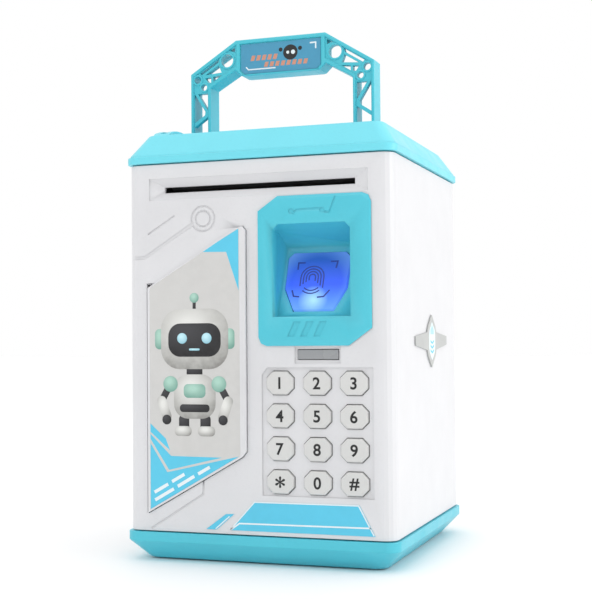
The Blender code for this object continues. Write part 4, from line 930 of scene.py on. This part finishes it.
def window_face():
    """The sloping front of the window: across, up the slope and outwards."""
    angle = math.atan2(BEZEL_APEX[1] - BEZEL_FOOT[1], BEZEL_APEX[0] - BEZEL_FOOT[0])
    up = Vector((0, math.cos(angle), math.sin(angle)))
    outwards = X_AXIS.cross(up)
    low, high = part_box("scanner_window")
    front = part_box("body_shell")[0].y
    foot = Vector(((low.x + high.x) / 2, front + BEZEL_FOOT[0] * MM, BODY_LOW + BEZEL_FOOT[1] * MM))
    return face(foot + outwards * WINDOW_FRONT * MM, X_AXIS, up)


RIDGE_WIDTH = 0.62
WINDOW_PIECE = ("scanner_window", "window_plastic")


def make_window_print():
    """Corner brackets round a plain fingertip pattern of nested arches."""
    place = window_face()
    brackets = (
        [(-6.4, 27.1), (-9.8, 27.1), (-9.8, 23.6)],
        [(5.8, 27.5), (9.2, 27.5), (8.7, 24.0)],
        [(-11.3, 13.1), (-10.2, 10.0), (-7.4, 9.7)],
        [(6.9, 12.9), (4.4, 9.6), (1.2, 9.3)],
    )
    for i, points in enumerate(brackets):
        film(f"window_bracket_{i + 1}", [stroke(points, 0.75)], 1, place, INK_NAVY, *WINDOW_PIECE)
    centre = (-2.2, 19.6)
    for i in range(4):
        radius = 1.5 + 1.35 * i
        drop = 2.0 + 1.2 * i
        path = [(centre[0] + radius, centre[1] - drop)]
        path += arc(centre, radius, 0, 180, 14)
        path += [(centre[0] - radius, centre[1] - drop * 0.8)]
        film(f"window_arch_{i + 1}", [stroke(path, RIDGE_WIDTH)], 1, place, INK_NAVY, *WINDOW_PIECE)
    for i in range(2):
        path = arc((centre[0], centre[1] - 2.2), 4.6 + 1.5 * i, 222 + 6 * i, 318 - 6 * i, 10)
        film(f"window_sole_{i + 1}", [stroke(path, RIDGE_WIDTH)], 1, place, INK_NAVY, *WINDOW_PIECE)


make_window_print()


# ---- floor and light ----
def make_stage():
    mesh = bpy.data.meshes.new("floor")
    half = 6.0
    corners = [(-half, -half, 0), (half, -half, 0), (half, half, 0), (-half, half, 0)]
    mesh.from_pydata(corners, [], [(0, 1, 2, 3)])
    floor = bpy.data.objects.new("floor", mesh)
    bpy.context.scene.collection.objects.link(floor)
    made, tree, shader = new_material("pale_floor", (0.92, 0.92, 0.92), 0.7)
    place = coordinates(tree)
    tone = mix(tree, spread(tree, noise(tree, place, 4, 3), 0.3, 0.7, 0.0, 1.0), (0.91, 0.91, 0.91),
               (0.93, 0.93, 0.93))
    finish_shader(tree, shader, tone)
    mesh.materials.append(made)


SKY_FRONT = (0.62, 0.62, 0.63)
SKY_BACK = (1.0, 1.0, 1.0)
SKY_RIGHT = (0.95, 0.95, 0.95)
SKY_TOP = (1.30, 1.30, 1.30)


def make_sky():
    """Even studio white: brighter overhead, to the right and behind, dimmer on the left and in front."""
    world = bpy.data.worlds.new("studio")
    bpy.context.scene.world = world
    world.use_nodes = True
    tree = world.node_tree
    sky = tree.nodes["Background"]
    way = add_node(tree, "ShaderNodeTexCoord").outputs["Generated"]
    axes = add_node(tree, "ShaderNodeSeparateXYZ", {"Vector": way}).outputs
    tone = mix(tree, spread(tree, axes["Y"], -0.2, 0.5, 0.0, 1.0), SKY_FRONT, SKY_BACK)
    tone = mix(tree, spread(tree, axes["X"], 0.3, 0.9, 0.0, 1.0), tone, SKY_RIGHT)
    tone = mix(tree, spread(tree, axes["Z"], 0.35, 0.85, 0.0, 1.0), tone, SKY_TOP)
    tree.links.new(tone, sky.inputs["Color"])
    sky.inputs["Strength"].default_value = 1.0


LAMPS = (
    ("side", (1.40, 0.20, 0.55), 0.9, 4.8),
    ("front", (-0.25, -1.50, 1.10), 1.0, 4.0),
)
LAMP_AIM = Vector((0, 0, 0.11))


def make_light():
    for name, place, size, power in LAMPS:
        data = bpy.data.lights.new(name, "AREA")
        data.shape = "DISK"
        data.size = size
        data.energy = power
        lamp = bpy.data.objects.new(name, data)
        lamp.location = place
        lamp.rotation_mode = "QUATERNION"
        lamp.rotation_quaternion = (LAMP_AIM - Vector(place)).to_track_quat("-Z", "Y")
        bpy.context.scene.collection.objects.link(lamp)
    bpy.context.scene.view_settings.view_transform = "Standard"


make_stage()
make_sky()
make_light()
